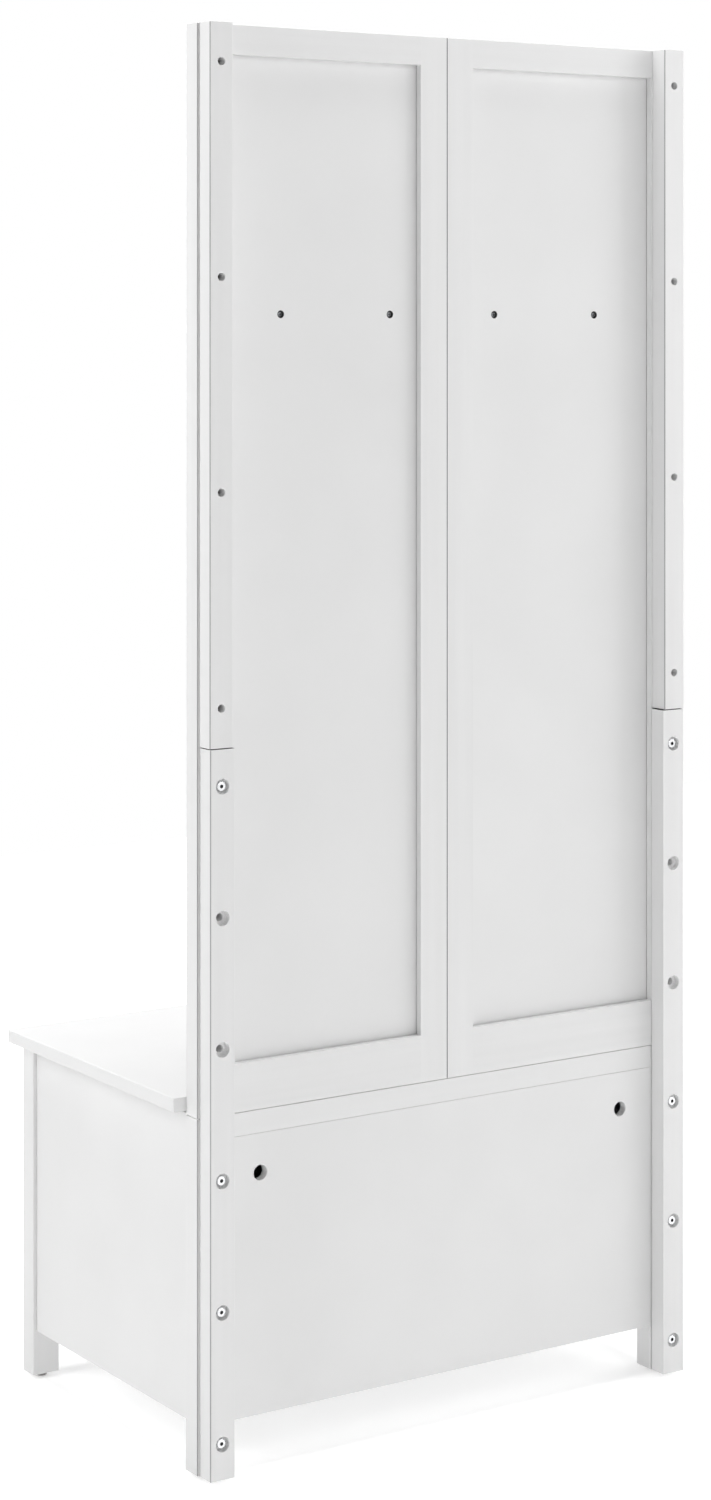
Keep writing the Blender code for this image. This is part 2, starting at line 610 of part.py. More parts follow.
def make_lower_batten(side, sign):
    """The strip that ties a rear leg to the outer stile above it, with bolt holes."""
    outer = HALF_WIDTH - LOWER_BATTEN_SETBACK
    batten = side_board("lower_batten_" + side, sign, outer - LOWER_BATTEN_WIDTH, outer,
                        (BATTEN_FRONT_Y, REAR_Y),
                        (LEG_BOTTOM_Z, LEG_BOTTOM_Z + BATTEN_JOINT_HEIGHT))
    x, past = lower_batten_x(sign), BATTEN_THICKNESS
    through = bore_cutter("bolt_holes_" + side, x, bolt_heights(), REAR_Y + past,
                          BATTEN_FRONT_Y - past, BOLT_HOLE_RADIUS)
    counterbores = bore_cutter("counterbores_" + side, x, bolt_heights(), REAR_Y + past,
                               REAR_Y - COUNTERBORE_DEPTH, COUNTERBORE_RADIUS)
    combine(batten, through, "DIFFERENCE")
    combine(batten, counterbores, "DIFFERENCE")


def bolt_mesh():
    """A socket-head bolt along its own Z, its origin under the head."""
    head_top = BOLT_HEAD_HEIGHT
    shank_length = BATTEN_THICKNESS - COUNTERBORE_DEPTH + BOLT_GRIP
    blank = turned_mesh("bolt_blank", [
        (0, head_top),
        (BOLT_HEAD_RADIUS - BOLT_HEAD_CHAMFER, head_top),
        (BOLT_HEAD_RADIUS, head_top - BOLT_HEAD_CHAMFER),
        (BOLT_HEAD_RADIUS, 0),
        (BOLT_SHANK_RADIUS, 0),
        (BOLT_SHANK_RADIUS, -shank_length),
        (0, -shank_length)])
    shape = bmesh.new()
    bmesh.ops.create_cone(
        shape, cap_ends=True, segments=6, radius1=HEX_SOCKET_RADIUS, radius2=HEX_SOCKET_RADIUS,
        depth=2 * HEX_SOCKET_DEPTH)
    socket = add_cutter("hex_socket", mesh_from(shape, "hex_socket"), (0, 0, head_top))
    bolt = link_object("bolt_blank", blank, CUTTERS)
    combine(bolt, socket, "DIFFERENCE")
    mesh = finished_mesh(bolt, "bolt")
    for used in (bolt, socket):
        bpy.data.objects.remove(used, do_unlink=True)
    smooth_rounds(mesh)
    return mesh


def make_bolts():
    """A bolt in each hole of the lower battens, apart from the two left empty."""
    mesh = bolt_mesh()
    seat_y = REAR_Y - COUNTERBORE_DEPTH + TOUCH_GAP
    for side, sign in SIDES:
        for number, height in enumerate(bolt_heights()):
            if number in EMPTY_BOLT_HOLES:
                continue
            name = "batten_bolt_" + side + "_" + str(number + 1)
            add_piece(name, mesh, "zinc", (lower_batten_x(sign), seat_y, height), FACING_REAR)


# ---------------------------------------------------------------------------
# Coat hooks
# ---------------------------------------------------------------------------
def wire_mesh(name, route):
    """A round bar along a smooth route, as one closed mesh."""
    curve = bpy.data.curves.new(name, "CURVE")
    curve.dimensions = "3D"
    curve.bevel_depth = HOOK_WIRE_RADIUS
    curve.bevel_resolution = BAR_RING_QUARTER
    curve.resolution_u = BAR_STEPS
    curve.use_fill_caps = True
    spline = curve.splines.new("BEZIER")
    spline.bezier_points.add(len(route) - 1)
    for point, (forward, height) in zip(spline.bezier_points, route):
        point.co = (0, -forward, height)
        point.handle_left_type = "AUTO"
        point.handle_right_type = "AUTO"
    bar = link_object(name, curve, CUTTERS)
    mesh = finished_mesh(bar, name)
    bpy.data.objects.remove(bar, do_unlink=True)
    weld = bmesh.new()
    weld.from_mesh(mesh)
    bmesh.ops.remove_doubles(weld, verts=weld.verts, dist=BAR_WELD)
    weld.to_mesh(mesh)
    weld.free()
    return mesh


def ball_mesh(name, radius, forward, height):
    """The ball on the end of a prong."""
    shape = bmesh.new()
    bmesh.ops.create_uvsphere(
        shape, u_segments=BALL_SEGMENTS, v_segments=BALL_RINGS, radius=radius)
    bmesh.ops.translate(shape, vec=(0, -forward, height), verts=shape.verts)
    return mesh_from(shape, name)


def hook_base():
    """The round base, with its back on the plane y = 0 and its front towards -Y."""
    neck = HOOK_WIRE_RADIUS + HOOK_NECK_COLLAR
    top = HOOK_BASE_THICKNESS + HOOK_NECK_RISE
    mesh = turned_mesh("hook_base", [
        (0, top),
        (neck - HOOK_NECK_RISE / 2, top),
        (neck, HOOK_BASE_THICKNESS),
        (HOOK_BASE_RADIUS - HOOK_RIM_WIDTH, HOOK_BASE_THICKNESS - HOOK_CROWN_DROP),
        (HOOK_BASE_RADIUS, HOOK_RIM_HEIGHT),
        (HOOK_BASE_RADIUS, 0),
        (0, 0)])
    return link_object("hook_blank", mesh, CUTTERS, rotation=(math.pi / 2, 0, 0))


def hook_mesh():
    """A double hook: a long upper prong, a short lower one, and a ball on each."""
    hook = hook_base()
    tools = []
    for name, route, ball in (("upper", HOOK_UPPER_ROUTE, HOOK_UPPER_BALL),
                              ("lower", HOOK_LOWER_ROUTE, HOOK_LOWER_BALL)):
        tools.append(add_cutter(name + "_prong", wire_mesh(name + "_prong", route)))
        tools.append(add_cutter(name + "_ball", ball_mesh(name + "_ball", ball, *route[-1])))
    for tool in tools:
        combine(hook, tool, "UNION")
    depth = HOOK_SCREW_GRIP + SCREW_BORE_CLEARANCE
    tools.append(bore_cutter("hook_thread", 0, [0], depth, -depth,
                             HOOK_SCREW_RADIUS + SCREW_BORE_CLEARANCE))
    combine(hook, tools[-1], "DIFFERENCE")
    bpy.context.view_layer.update()
    mesh = finished_mesh(hook, "coat_hook")
    mesh.transform(hook.matrix_world)
    for used in [hook] + tools:
        bpy.data.objects.remove(used, do_unlink=True)
    smooth_rounds(mesh)
    return mesh


def hook_screw_mesh():
    """A pan-head screw along its own Z, its origin under the head."""
    shank = (BACK_FRAME_PANEL_THICKNESS - HOOK_COUNTERBORE_DEPTH) + HOOK_SCREW_GRIP
    crown = [(radius * HOOK_SCREW_HEAD_RADIUS, height * HOOK_SCREW_HEAD_HEIGHT)
             for radius, height in HOOK_SCREW_CROWN]
    return turned_mesh("hook_screw", [
        (0, HOOK_SCREW_HEAD_HEIGHT),
        *crown,
        (HOOK_SCREW_HEAD_RADIUS, 0),
        (HOOK_SCREW_RADIUS, 0),
        (HOOK_SCREW_RADIUS, -shank),
        (0, -shank)])


def make_hooks():
    """Four double hooks on the panels, each with its screw from behind."""
    hook, screw = hook_mesh(), hook_screw_mesh()
    height = LEG_BOTTOM_Z + HOOK_HEIGHT
    screw_seat_y = PANEL_REAR_Y - HOOK_COUNTERBORE_DEPTH + TOUCH_GAP
    for number, x, _side in hook_positions():
        add_piece("coat_hook_" + str(number), hook, "nickel",
                  (x, PANEL_FRONT_Y - TOUCH_GAP, height))
        add_piece("hook_screw_" + str(number), screw, "zinc",
                  (x, screw_seat_y, height), FACING_REAR)


# ---------------------------------------------------------------------------
# Seat lid and hinges
# ---------------------------------------------------------------------------
def make_seat_axis():
    """The empty that the seat and its hinge leaves turn about."""
    return link_object("seat_hinge_axis", None, PARTS, (0, HINGE_AXIS_Y, HINGE_AXIS_Z))


def make_seat(axis):
    """The seat board and the two bumpers under its front corners."""
    reach = HALF_WIDTH + SEAT_SIDE_OVERHANG
    board("seat_lid", (-reach, SEAT_FRONT_Y, SEAT_BOTTOM_Z), (reach, SEAT_REAR_Y, SEAT_TOP_Z),
          "seat_paint", SEAT_EDGE_ROUND, axis)
    height = SEAT_LIFT - 2 * TOUCH_GAP + LEG_SHORT_BY
    shoulder = -height * BUMPER_SHOULDER
    bumper = turned_mesh("bumper", [
        (0, 0),
        (BUMPER_RADIUS, 0),
        (BUMPER_RADIUS, shoulder),
        (BUMPER_TIP_RADIUS, -height),
        (0, -height)])
    for row, side, _sign, x, y in leg_centres():
        if row == "front":
            add_piece("seat_bumper_" + side, bumper, "bumper_rubber",
                      (x, y, SEAT_BOTTOM_Z - TOUCH_GAP), parent=axis)


def knuckle_cutters(name, x, ranges, tab_y, tab_top):
    """Knuckles about the hinge axis and the tabs that join them to their leaf."""
    shape = bmesh.new()
    for low, high in ranges:
        knuckle = bmesh.ops.create_cone(
            shape, cap_ends=True, segments=ROUND_STEPS, radius1=KNUCKLE_RADIUS,
            radius2=KNUCKLE_RADIUS, depth=high - low)
        for vertex in knuckle["verts"]:
            vertex.co = Vector((vertex.co.z + (low + high) / 2, vertex.co.x, vertex.co.y))
    rolls = add_cutter(name + "_knuckles", mesh_from(shape, name), (x, HINGE_AXIS_Y, HINGE_AXIS_Z))
    leaf_top = SEAT_TOP_Z
    tabs = box_cutter(name + "_tabs", [
        ((x + low, tab_y[0], leaf_top - HINGE_LEAF_THICKNESS), (x + high, tab_y[1], tab_top))
        for low, high in ranges])
    return tabs, rolls


def pin_bore(name, x):
    """The bore for the pin through all the knuckles of one hinge."""
    shape = bmesh.new()
    bmesh.ops.create_cone(
        shape, cap_ends=True, segments=ROUND_STEPS, radius1=PIN_RADIUS + PIN_CLEARANCE,
        radius2=PIN_RADIUS + PIN_CLEARANCE, depth=2 * HINGE_LENGTH)
    for vertex in shape.verts:
        vertex.co = Vector((vertex.co.z, vertex.co.x, vertex.co.y))
    return add_cutter(name, mesh_from(shape, name), (x, HINGE_AXIS_Y, HINGE_AXIS_Z))


def hinge_leaf(name, x, leaf_y, ranges, tab_top, parent=None):
    """A leaf below the axis, joined to its own knuckles."""
    half = HINGE_LENGTH / 2
    leaf_top = SEAT_TOP_Z
    leaf = board(name, (x - half, leaf_y[0], leaf_top - HINGE_LEAF_HEIGHT),
                 (x + half, leaf_y[1], leaf_top), "hinge_steel", LEAF_EDGE_ROUND, parent)
    for tool in knuckle_cutters(name, x, ranges, leaf_y, tab_top):
        combine(leaf, tool, "UNION")
    return leaf


def make_hinge(side, x, axis):
    """One butt hinge: outer knuckles on the frame, the middle one on the seat, and a pin."""
    half, third = HINGE_LENGTH / 2, HINGE_LENGTH / 6
    frame_y = (FRAME_FRONT_Y - TOUCH_GAP - HINGE_LEAF_THICKNESS, FRAME_FRONT_Y - TOUCH_GAP)
    seat_y = (SEAT_REAR_Y + TOUCH_GAP, SEAT_REAR_Y + TOUCH_GAP + HINGE_LEAF_THICKNESS)
    outer = [(-half, -third - TOUCH_GAP), (third + TOUCH_GAP, half)]
    frame_leaf = hinge_leaf("hinge_frame_leaf_" + side, x, frame_y, outer, HINGE_AXIS_Z)
    seat_leaf = hinge_leaf("hinge_seat_leaf_" + side, x, seat_y, [(-third, third)],
                           HINGE_AXIS_Z - SEAT_TAB_DROP, axis)
    bore = pin_bore("pin_bore_" + side, x)
    combine(frame_leaf, bore, "DIFFERENCE")
    combine(seat_leaf, bore, "DIFFERENCE")
    end = half + TOUCH_GAP
    pin = turned_mesh("hinge_pin", [
        (0, end + PIN_HEAD_THICKNESS),
        (PIN_HEAD_RADIUS, end + PIN_HEAD_THICKNESS),
        (PIN_HEAD_RADIUS, end),
        (PIN_RADIUS, end),
        (PIN_RADIUS, -end),
        (0, -end)])
    add_piece("hinge_pin_" + side, pin, "hinge_steel", (x, HINGE_AXIS_Y, HINGE_AXIS_Z),
              (0, math.pi / 2, 0))


# ---------------------------------------------------------------------------
# Assembly
# ---------------------------------------------------------------------------
def build():
    """Make every piece of the hall tree."""
    bores = {side: bolt_bores(side, sign) for side, sign in SIDES}
    make_legs(bores)
    make_bench_sides()
    make_bench_back()
    make_bench_bottom()
    make_bench_front()
    for side, sign in SIDES:
        make_back_frame(side, sign, bores)
        make_upper_batten(side, sign)
        make_lower_batten(side, sign)
    make_bolts()
    make_hooks()
    seat_axis = make_seat_axis()
    make_seat(seat_axis)
    for side, sign in SIDES:
        make_hinge(side, sign * HINGE_FROM_CENTRE, seat_axis)


empty_scene()
PARTS = new_collection("hall_tree_with_hooks")
CUTTERS = new_collection("cutters")
MATERIALS = make_materials()
build()
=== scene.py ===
"""Looks of the hall tree with hooks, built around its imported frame.

A storage bench with a lift-up seat carries a tall back of two framed panels. Battens bolted on from
behind tie the back to the bench. Units are metres, +Z is up, the seat's front faces -Y and the back
of the piece faces +Y. "Right" is +X.
"""

import logging
import math
from collections.abc import Callable, Sequence
from dataclasses import dataclass
from enum import Enum

import bmesh
import bpy
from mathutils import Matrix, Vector


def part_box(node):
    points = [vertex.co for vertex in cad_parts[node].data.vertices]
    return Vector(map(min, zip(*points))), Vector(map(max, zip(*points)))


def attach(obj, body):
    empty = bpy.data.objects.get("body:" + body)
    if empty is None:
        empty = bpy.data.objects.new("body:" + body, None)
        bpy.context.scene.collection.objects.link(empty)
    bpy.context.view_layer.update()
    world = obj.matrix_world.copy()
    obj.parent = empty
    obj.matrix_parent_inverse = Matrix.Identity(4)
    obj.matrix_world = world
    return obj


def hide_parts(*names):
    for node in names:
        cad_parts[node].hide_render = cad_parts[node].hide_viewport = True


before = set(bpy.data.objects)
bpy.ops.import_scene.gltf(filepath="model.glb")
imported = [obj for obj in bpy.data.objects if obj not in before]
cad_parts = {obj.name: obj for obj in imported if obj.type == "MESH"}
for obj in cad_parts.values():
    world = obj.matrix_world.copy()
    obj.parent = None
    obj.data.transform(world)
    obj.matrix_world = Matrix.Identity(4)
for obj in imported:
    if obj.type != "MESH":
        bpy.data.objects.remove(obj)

Piece = bpy.types.Object
Finish = bpy.types.Material
Socket = bpy.types.NodeSocket
Pair = tuple[float, float]
Triple = tuple[float, float, float]
LOG = logging.getLogger("hall_tree")
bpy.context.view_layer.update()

TOUCH = 0.0003  # between pieces that touch
ALONG = 0.9  # least share of a direction along an axis for it to run that way
ASIDE = 0.1  # least share of a normal for a face to look that way at all
BORE_FACES = 40  # round a hole
SMOOTH_BELOW = math.radians(40)
REARWARD = (-math.pi / 2, 0.0, 0.0)  # turns a piece's own +Z to the rear, +Y
SIDEWAYS = (0.0, math.pi / 2, 0.0)  # turns a piece's own +Z to the right, +X


class Body(Enum):
    """The bodies that pieces ride on."""

    CARCASS = "carcass"
    SEAT = "seat"


class Slot(Enum):
    """The names of the material slots that pieces are passed with."""

    WHITE_PAINT = "white_paint"
    PANEL_PAINT = "back_panel_paint"
    SEAT_PAINT = "seat_paint"
    BOLT_ZINC = "zinc_bolt"
    SCREW_STEEL = "screw_steel"
    HOOK_NICKEL = "nickel_hook"
    HINGE_STEEL = "hinge_steel"
    GLIDE_PLASTIC = "glide_plastic"
    BUMPER_RUBBER = "bumper_rubber"


class Side(Enum):
    """The two sides of the piece, as a sign along X."""

    LEFT = -1
    RIGHT = 1

    def node(self, prefix: str) -> str:
        """The name of this side's node."""
        return prefix + "_" + self.name.lower()


class Grain(Enum):
    """The way a board's grain runs, as the stretch of its pattern along X, Y and Z."""

    ACROSS = (0.03, 1.0, 1.0)
    UPRIGHT = (1.0, 1.0, 0.03)


# ---- Materials ----
def linear(colour: str) -> tuple[float, float, float, float]:
    """Turn an sRGB hex colour into linear light.

    Args:
        colour: the colour as "#RRGGBB".

    Returns:
        Red, green, blue and an alpha of 1.
    """
    channels = []
    for start in (1, 3, 5):
        value = int(colour[start:start + 2], 16) / 255
        channels.append(value / 12.92 if value <= 0.04045 else ((value + 0.055) / 1.055) ** 2.4)
    return (*channels, 1.0)


def add_node(tree: bpy.types.NodeTree, kind: str, settings: dict | None = None,
             links: dict | None = None) -> bpy.types.Node:
    """Add a node with its settings and links.

    Args:
        tree: the node tree it goes into.
        kind: the node's type.
        settings: values of the node's own properties, or of its inputs by name or number.
        links: the output that feeds each input, by the input's name or number.

    Returns:
        The new node.
    """
    node = tree.nodes.new(kind)
    for name, value in (settings or {}).items():
        if isinstance(name, str) and hasattr(node, name):
            setattr(node, name, value)
        else:
            node.inputs[name].default_value = value
    for name, output in (links or {}).items():
        tree.links.new(output, node.inputs[name])
    return node


@dataclass
class Recipe:
    """A material in the making: its tree, its shader and where its patterns lie."""

    name: str
    settings: dict  # values of the shader's own sockets that are the same all over
    stretch: Triple = (1.0, 1.0, 1.0)  # how a pattern is scaled before it is laid on
    noise_reach: Pair = (0.3, 0.7)  # between which the noise node's values mostly lie

    def __post_init__(self) -> None:
        """Start the material with its shader and its place."""
        self.material = bpy.data.materials.new(self.name)
        self.material.use_nodes = True
        self.tree = self.material.node_tree
        self.shader = self.tree.nodes["Principled BSDF"]
        for name, value in self.settings.items():
            self.shader.inputs[name].default_value = value
        place = add_node(self.tree, "ShaderNodeTexCoord")
        stretched = add_node(self.tree, "ShaderNodeMapping", {"Scale": self.stretch},
                             {"Vector": place.outputs["Object"]})
        self.place = stretched.outputs["Vector"]
        self.heights = []

    def noise(self, size: float, detail: float = 2.0, spread: Pair = (0.0, 1.0)) -> Socket:
        """A random pattern of a real size, spread between two values.

        Args:
            size: metres across one blot of the pattern.
            detail: how much finer pattern is laid over it.
            spread: the values in its darkest and its lightest places.

        Returns:
            The pattern's output.
        """
        blots = add_node(self.tree, "ShaderNodeTexNoise", {"Scale": 1 / size, "Detail": detail},
                         {"Vector": self.place})
        low, high = self.noise_reach
        values = add_node(
            self.tree, "ShaderNodeMapRange",
            {"From Min": low, "From Max": high, "To Min": spread[0], "To Max": spread[1]},
            {"Value": blots.outputs["Fac"]})
        return values.outputs["Result"]

    def tint(self, size: float, dark: str, light: str, detail: float = 2.0) -> None:
        """Let the colour run between two shades, in blots of a size."""
        shades = add_node(self.tree, "ShaderNodeMix",
                          {"data_type": "RGBA", 6: linear(dark), 7: linear(light)},
                          {"Factor": self.noise(size, detail)})
        self.tree.links.new(shades.outputs[2], self.shader.inputs["Base Color"])

    def dull(self, size: float, gloss: Pair, detail: float = 2.0) -> None:
        """Let the roughness run between two values, in blots of a size."""
        self.tree.links.new(self.noise(size, detail, gloss), self.shader.inputs["Roughness"])

    def emboss(self, height: Socket, depth: float) -> None:
        """Raise the surface by a pattern, up to a real depth in metres, over what is there."""
        links = {"Height": height}
        if self.heights:
            links["Normal"] = self.heights[-1]
        bump = add_node(self.tree, "ShaderNodeBump", {"Distance": depth}, links)
        self.heights.append(bump.outputs["Normal"])
        self.tree.links.new(bump.outputs["Normal"], self.shader.inputs["Normal"])


@dataclass(frozen=True)
class SprayedLacquer:
    """White satin polyurethane lacquer, sprayed on sanded fibreboard.

    It gives an even, faintly cloudy white with a broad soft sheen. The orange peel left by the
    spray shows only in a glancing light.
    """

    name: str = "sprayed_lacquer"
    light: str = "#E7E7E7"
    dark: str = "#E3E3E3"
    cloud: float = 0.160  # across a cloud of thicker and thinner coat
    peel: float = 0.0030  # across a dimple of the orange peel
    peel_depth: float = 0.000012
    gloss: Pair = (0.40, 0.48)

    def make(self) -> Finish:
        """Mix the lacquer."""
        recipe = Recipe(self.name, {"IOR": 1.48, "Specular IOR Level": 0.5})
        recipe.tint(self.cloud, self.dark, self.light)
        recipe.dull(self.cloud / 4, self.gloss)
        recipe.emboss(recipe.noise(self.peel, detail=1.0), self.peel_depth)
        return recipe.material


@dataclass(frozen=True)
class PaintedWood:
    """White satin lacquer on planed rubberwood, brushed smooth and sprayed.

    It looks as the lacquered boards do, but long faint ridges of grain show through the coat.
    """

    name: str
    grain: Grain
    light: str = "#E7E7E7"
    dark: str = "#E3E3E3"
    pore: float = 0.0035  # across a ridge of the grain
    pore_depth: float = 0.000030
    streak: float = 0.018  # across a streak of colour along the board
    gloss: Pair = (0.40, 0.50)

    def make(self) -> Finish:
        """Mix the paint with its grain."""
        recipe = Recipe(self.name, {"IOR": 1.48, "Specular IOR Level": 0.5}, self.grain.value)
        recipe.tint(self.streak, self.dark, self.light, detail=3.0)
        recipe.dull(self.streak, self.gloss)
        recipe.emboss(recipe.noise(self.pore), self.pore_depth)
        return recipe.material


@dataclass(frozen=True)
class BoredFibre:
    """The wall of a hole bored in board before it was sprayed.

    A sprayed one has a mist of paint, a little greyer and rougher than the faces, over fine rings
    from the bit. The near-black variety is painted shade: it darkens the walls of gaps, grooves and
    holes where shade falls.
    """

    name: str = "bored_fibre"
    light: str = "#F4F4F4"
    dark: str = "#E0E0E0"
    tuft: float = 0.0016  # across a tuft of raised fibre
    tuft_depth: float = 0.00008
    ring: float = 0.0009  # from one ring of the bit to the next
    ring_depth: float = 0.00004
    wobble: float = 1.5  # of the rings

    def make(self) -> Finish:
        """Mix the bored surface."""
        recipe = Recipe(self.name, {"Roughness": 0.72, "IOR": 1.48})
        recipe.tint(self.tuft, self.dark, self.light, detail=3.0)
        rings = add_node(recipe.tree, "ShaderNodeTexWave",
                         {"bands_direction": "Y", "Scale": math.pi / (10 * self.ring),
                          "Distortion": self.wobble},
                         {"Vector": recipe.place})
        recipe.emboss(rings.outputs["Fac"], self.ring_depth)
        recipe.emboss(recipe.noise(self.tuft / 2), self.tuft_depth)
        return recipe.material


@dataclass(frozen=True)
class PlatedSteel:
    """Turned or pressed steel with a thin plating, such as zinc or nickel.

    The plating gives a grey metal sheen with dull blots where it is thinner, over the fine marks
    of the tool.
    """

    name: str
    light: str
    dark: str
    gloss: Pair
    blot: float = 0.004  # across a dull blot of the plating
    mark: float = 0.0006  # across a mark of the tool
    mark_depth: float = 0.000006

    def make(self) -> Finish:
        """Mix the plated metal."""
        recipe = Recipe(self.name, {"Metallic": 1.0})
        recipe.tint(self.blot, self.dark, self.light, detail=3.0)
        recipe.dull(self.blot, self.gloss, detail=4.0)
        recipe.emboss(recipe.noise(self.mark, detail=1.0), self.mark_depth)
        return recipe.material


@dataclass(frozen=True)
class MouldedPlastic:
    """A small injection-moulded part with the fine spark texture of its mould."""

    name: str
    light: str
    dark: str
    ior: float
    roughness: float
    see_through: float = 0.0
    spark: float = 0.0007  # across a pit of the mould's texture
    spark_depth: float = 0.00001

    def make(self) -> Finish:
        """Mix the plastic."""
        recipe = Recipe(self.name, {"Roughness": self.roughness, "IOR": self.ior,
                                    "Transmission Weight": self.see_through})
        recipe.tint(self.spark * 6, self.dark, self.light)
        recipe.emboss(recipe.noise(self.spark, detail=1.0), self.spark_depth)
        return recipe.material


@dataclass(frozen=True)
class SeamlessPaper:
    """Pale studio paper, matt, with a faint tooth, lit from below so that shadows stay soft.

    Away from the piece its own glow rises until it is as white as where the softboxes reach.
    """

    name: str = "seamless_paper"
    light: str = "#F7F7F7"
    dark: str = "#F3F3F3"
    tooth: float = 0.004  # across a fibre of the paper's tooth
    tooth_depth: float = 0.00002
    near: Pair = (1.4, 0.35)  # metres from the piece, and the glow up to there
    far: Pair = (3.6, 1.05)  # metres from the piece, and the glow from there on

    def make(self) -> Finish:
        """Mix the paper."""
        recipe = Recipe(self.name, {"Roughness": 0.9, "Specular IOR Level": 0.1,
                                    "Emission Color": (1.0, 1.0, 1.0, 1.0)})
        recipe.tint(self.tooth * 40, self.dark, self.light)
        recipe.emboss(recipe.noise(self.tooth), self.tooth_depth)
        distance = add_node(recipe.tree, "ShaderNodeVectorMath", {"operation": "LENGTH"},
                            {0: recipe.place})
        glow = add_node(
            recipe.tree, "ShaderNodeMapRange",
            {"interpolation_type": "SMOOTHSTEP", "From Min": self.near[0], "From Max": self.far[0],
             "To Min": self.near[1], "To Max": self.far[1]},
            {"Value": distance.outputs["Value"]})
        recipe.tree.links.new(glow.outputs["Result"], recipe.shader.inputs["Emission Strength"])
        return recipe.material


class Finishes:
    """Every finish on the piece, each mixed once."""

    def __init__(self) -> None:
        """Mix the finishes."""
        self.lacquer = SprayedLacquer().make()
        self.panel = SprayedLacquer("sprayed_lacquer_panel", cloud=0.22).make()
        self.seat = SprayedLacquer("sprayed_lacquer_seat", gloss=(0.36, 0.44)).make()
        self.upright = PaintedWood("painted_wood_upright", Grain.UPRIGHT).make()
        self.across = PaintedWood("painted_wood_across", Grain.ACROSS).make()
        self.bored = BoredFibre().make()
        # The near-black bored fibre is painted shade, for the walls of gaps, grooves and holes.
        self.raw_bore = BoredFibre("raw_bored_fibre", "#4E4E4E", "#343434").make()
        # A darker grey on some rounded edges; in the V-groove by each batten it is painted shade.
        self.thin_coat = PaintedWood("dark_edge_grey_wood", Grain.UPRIGHT, "#A8A8A8", "#949494").make()
        self.zinc = PlatedSteel("zinc_plated_steel", "#F0F1F2", "#DADCDE", (0.22, 0.32)).make()
        self.hook_screw = PlatedSteel("zinc_plated_screw", "#8E9092", "#6C6E70", (0.34, 0.46)).make()
        # Black oxide on the upper batten's screws, and painted shade in bolt sockets and screw recesses.
        self.black_steel = PlatedSteel("black_oxide_steel", "#4A4A4C", "#2B2B2C", (0.30, 0.42)).make()
        self.nickel = PlatedSteel("satin_nickel", "#BFBBB4", "#AEAAA3", (0.25, 0.33), blot=0.012).make()
        self.hinge = PlatedSteel("pressed_hinge_steel", "#B9BABC", "#9FA1A3", (0.28, 0.38)).make()
        self.glide = MouldedPlastic("moulded_polyethylene", "#8C8A88", "#7C7A78", 1.51, 0.45).make()
        self.bumper = MouldedPlastic("soft_polyurethane", "#E4E4DE", "#D8D8D2", 1.50, 0.35, 0.6).make()


# ---- Shaping ----
Chooser = Callable[[Vector, Vector], bool]


def pick(*pieces: Piece) -> None:
    """Select these pieces and nothing else, with the first one active."""
    bpy.ops.object.select_all(action="DESELECT")
    for piece in pieces:
        piece.select_set(True)
    if pieces:
        bpy.context.view_layer.objects.active = pieces[0]


def named(name: str, material: Finish) -> Piece:
    """Name the object just added and give it its material."""
    piece = bpy.context.object
    piece.name = name
    piece.data.name = name
    piece.data.materials.append(material)
    return piece


def add_block(name: str, low: Sequence[float], high: Sequence[float], material: Finish) -> Piece:
    """Add a block between two corners.

    Args:
        name: the block's name.
        low: its lowest corner.
        high: its highest corner.
        material: its finish.

    Returns:
        The block, its place in its mesh.
    """
    low, high = Vector(low), Vector(high)
    pick()
    bpy.ops.mesh.primitive_cube_add(size=1, location=(low + high) / 2, scale=high - low)
    block = named(name, material)
    settle(block)
    return block


def settle(piece: Piece) -> None:
    """Put a piece's place, turn and size into its mesh."""
    pick(piece)
    bpy.ops.object.transform_apply(location=True, rotation=True, scale=True)


def put(piece: Piece, place: Sequence[float], turned: Sequence[float] = (0.0, 0.0, 0.0)) -> Piece:
    """Turn a piece about the origin, move it to its place, and settle it there."""
    piece.rotation_euler = turned
    piece.location = place
    settle(piece)
    return piece


def ease_edges(piece: Piece, radius: float, steps: int = 3, chosen: Chooser | None = None) -> None:
    """Round over the sharp edges of a piece.

    Args:
        piece: the piece.
        radius: how far the rounding reaches.
        steps: faces across the rounding.
        chosen: says, from an edge's middle and direction, whether it is rounded. All are without it.
    """
    pick(piece)
    bpy.ops.object.mode_set(mode="EDIT")
    bpy.ops.mesh.select_mode(type="EDGE")
    bpy.ops.mesh.select_all(action="DESELECT")
    shape = bmesh.from_edit_mesh(piece.data)
    for edge in shape.edges:
        start, end = (vertex.co for vertex in edge.verts)
        sharp = len(edge.link_faces) == 2 and edge.calc_face_angle() > SMOOTH_BELOW
        if sharp and (chosen is None or chosen((start + end) / 2, (end - start).normalized())):
            edge.select_set(True)
    bmesh.update_edit_mesh(piece.data)
    bpy.ops.mesh.bevel(offset=radius, segments=steps, profile=0.5)
    bpy.ops.object.mode_set(mode="OBJECT")


def score(piece: Piece, heights: Sequence[float]) -> None:
    """Part the faces of an upright board at some heights, so its edges can be eased in parts."""
    pick(piece)
    bpy.ops.object.mode_set(mode="EDIT")
    for height in heights:
        bpy.ops.mesh.select_all(action="SELECT")
        bpy.ops.mesh.bisect(plane_co=(0, 0, height), plane_no=(0, 0, 1))
    bpy.ops.object.mode_set(mode="OBJECT")


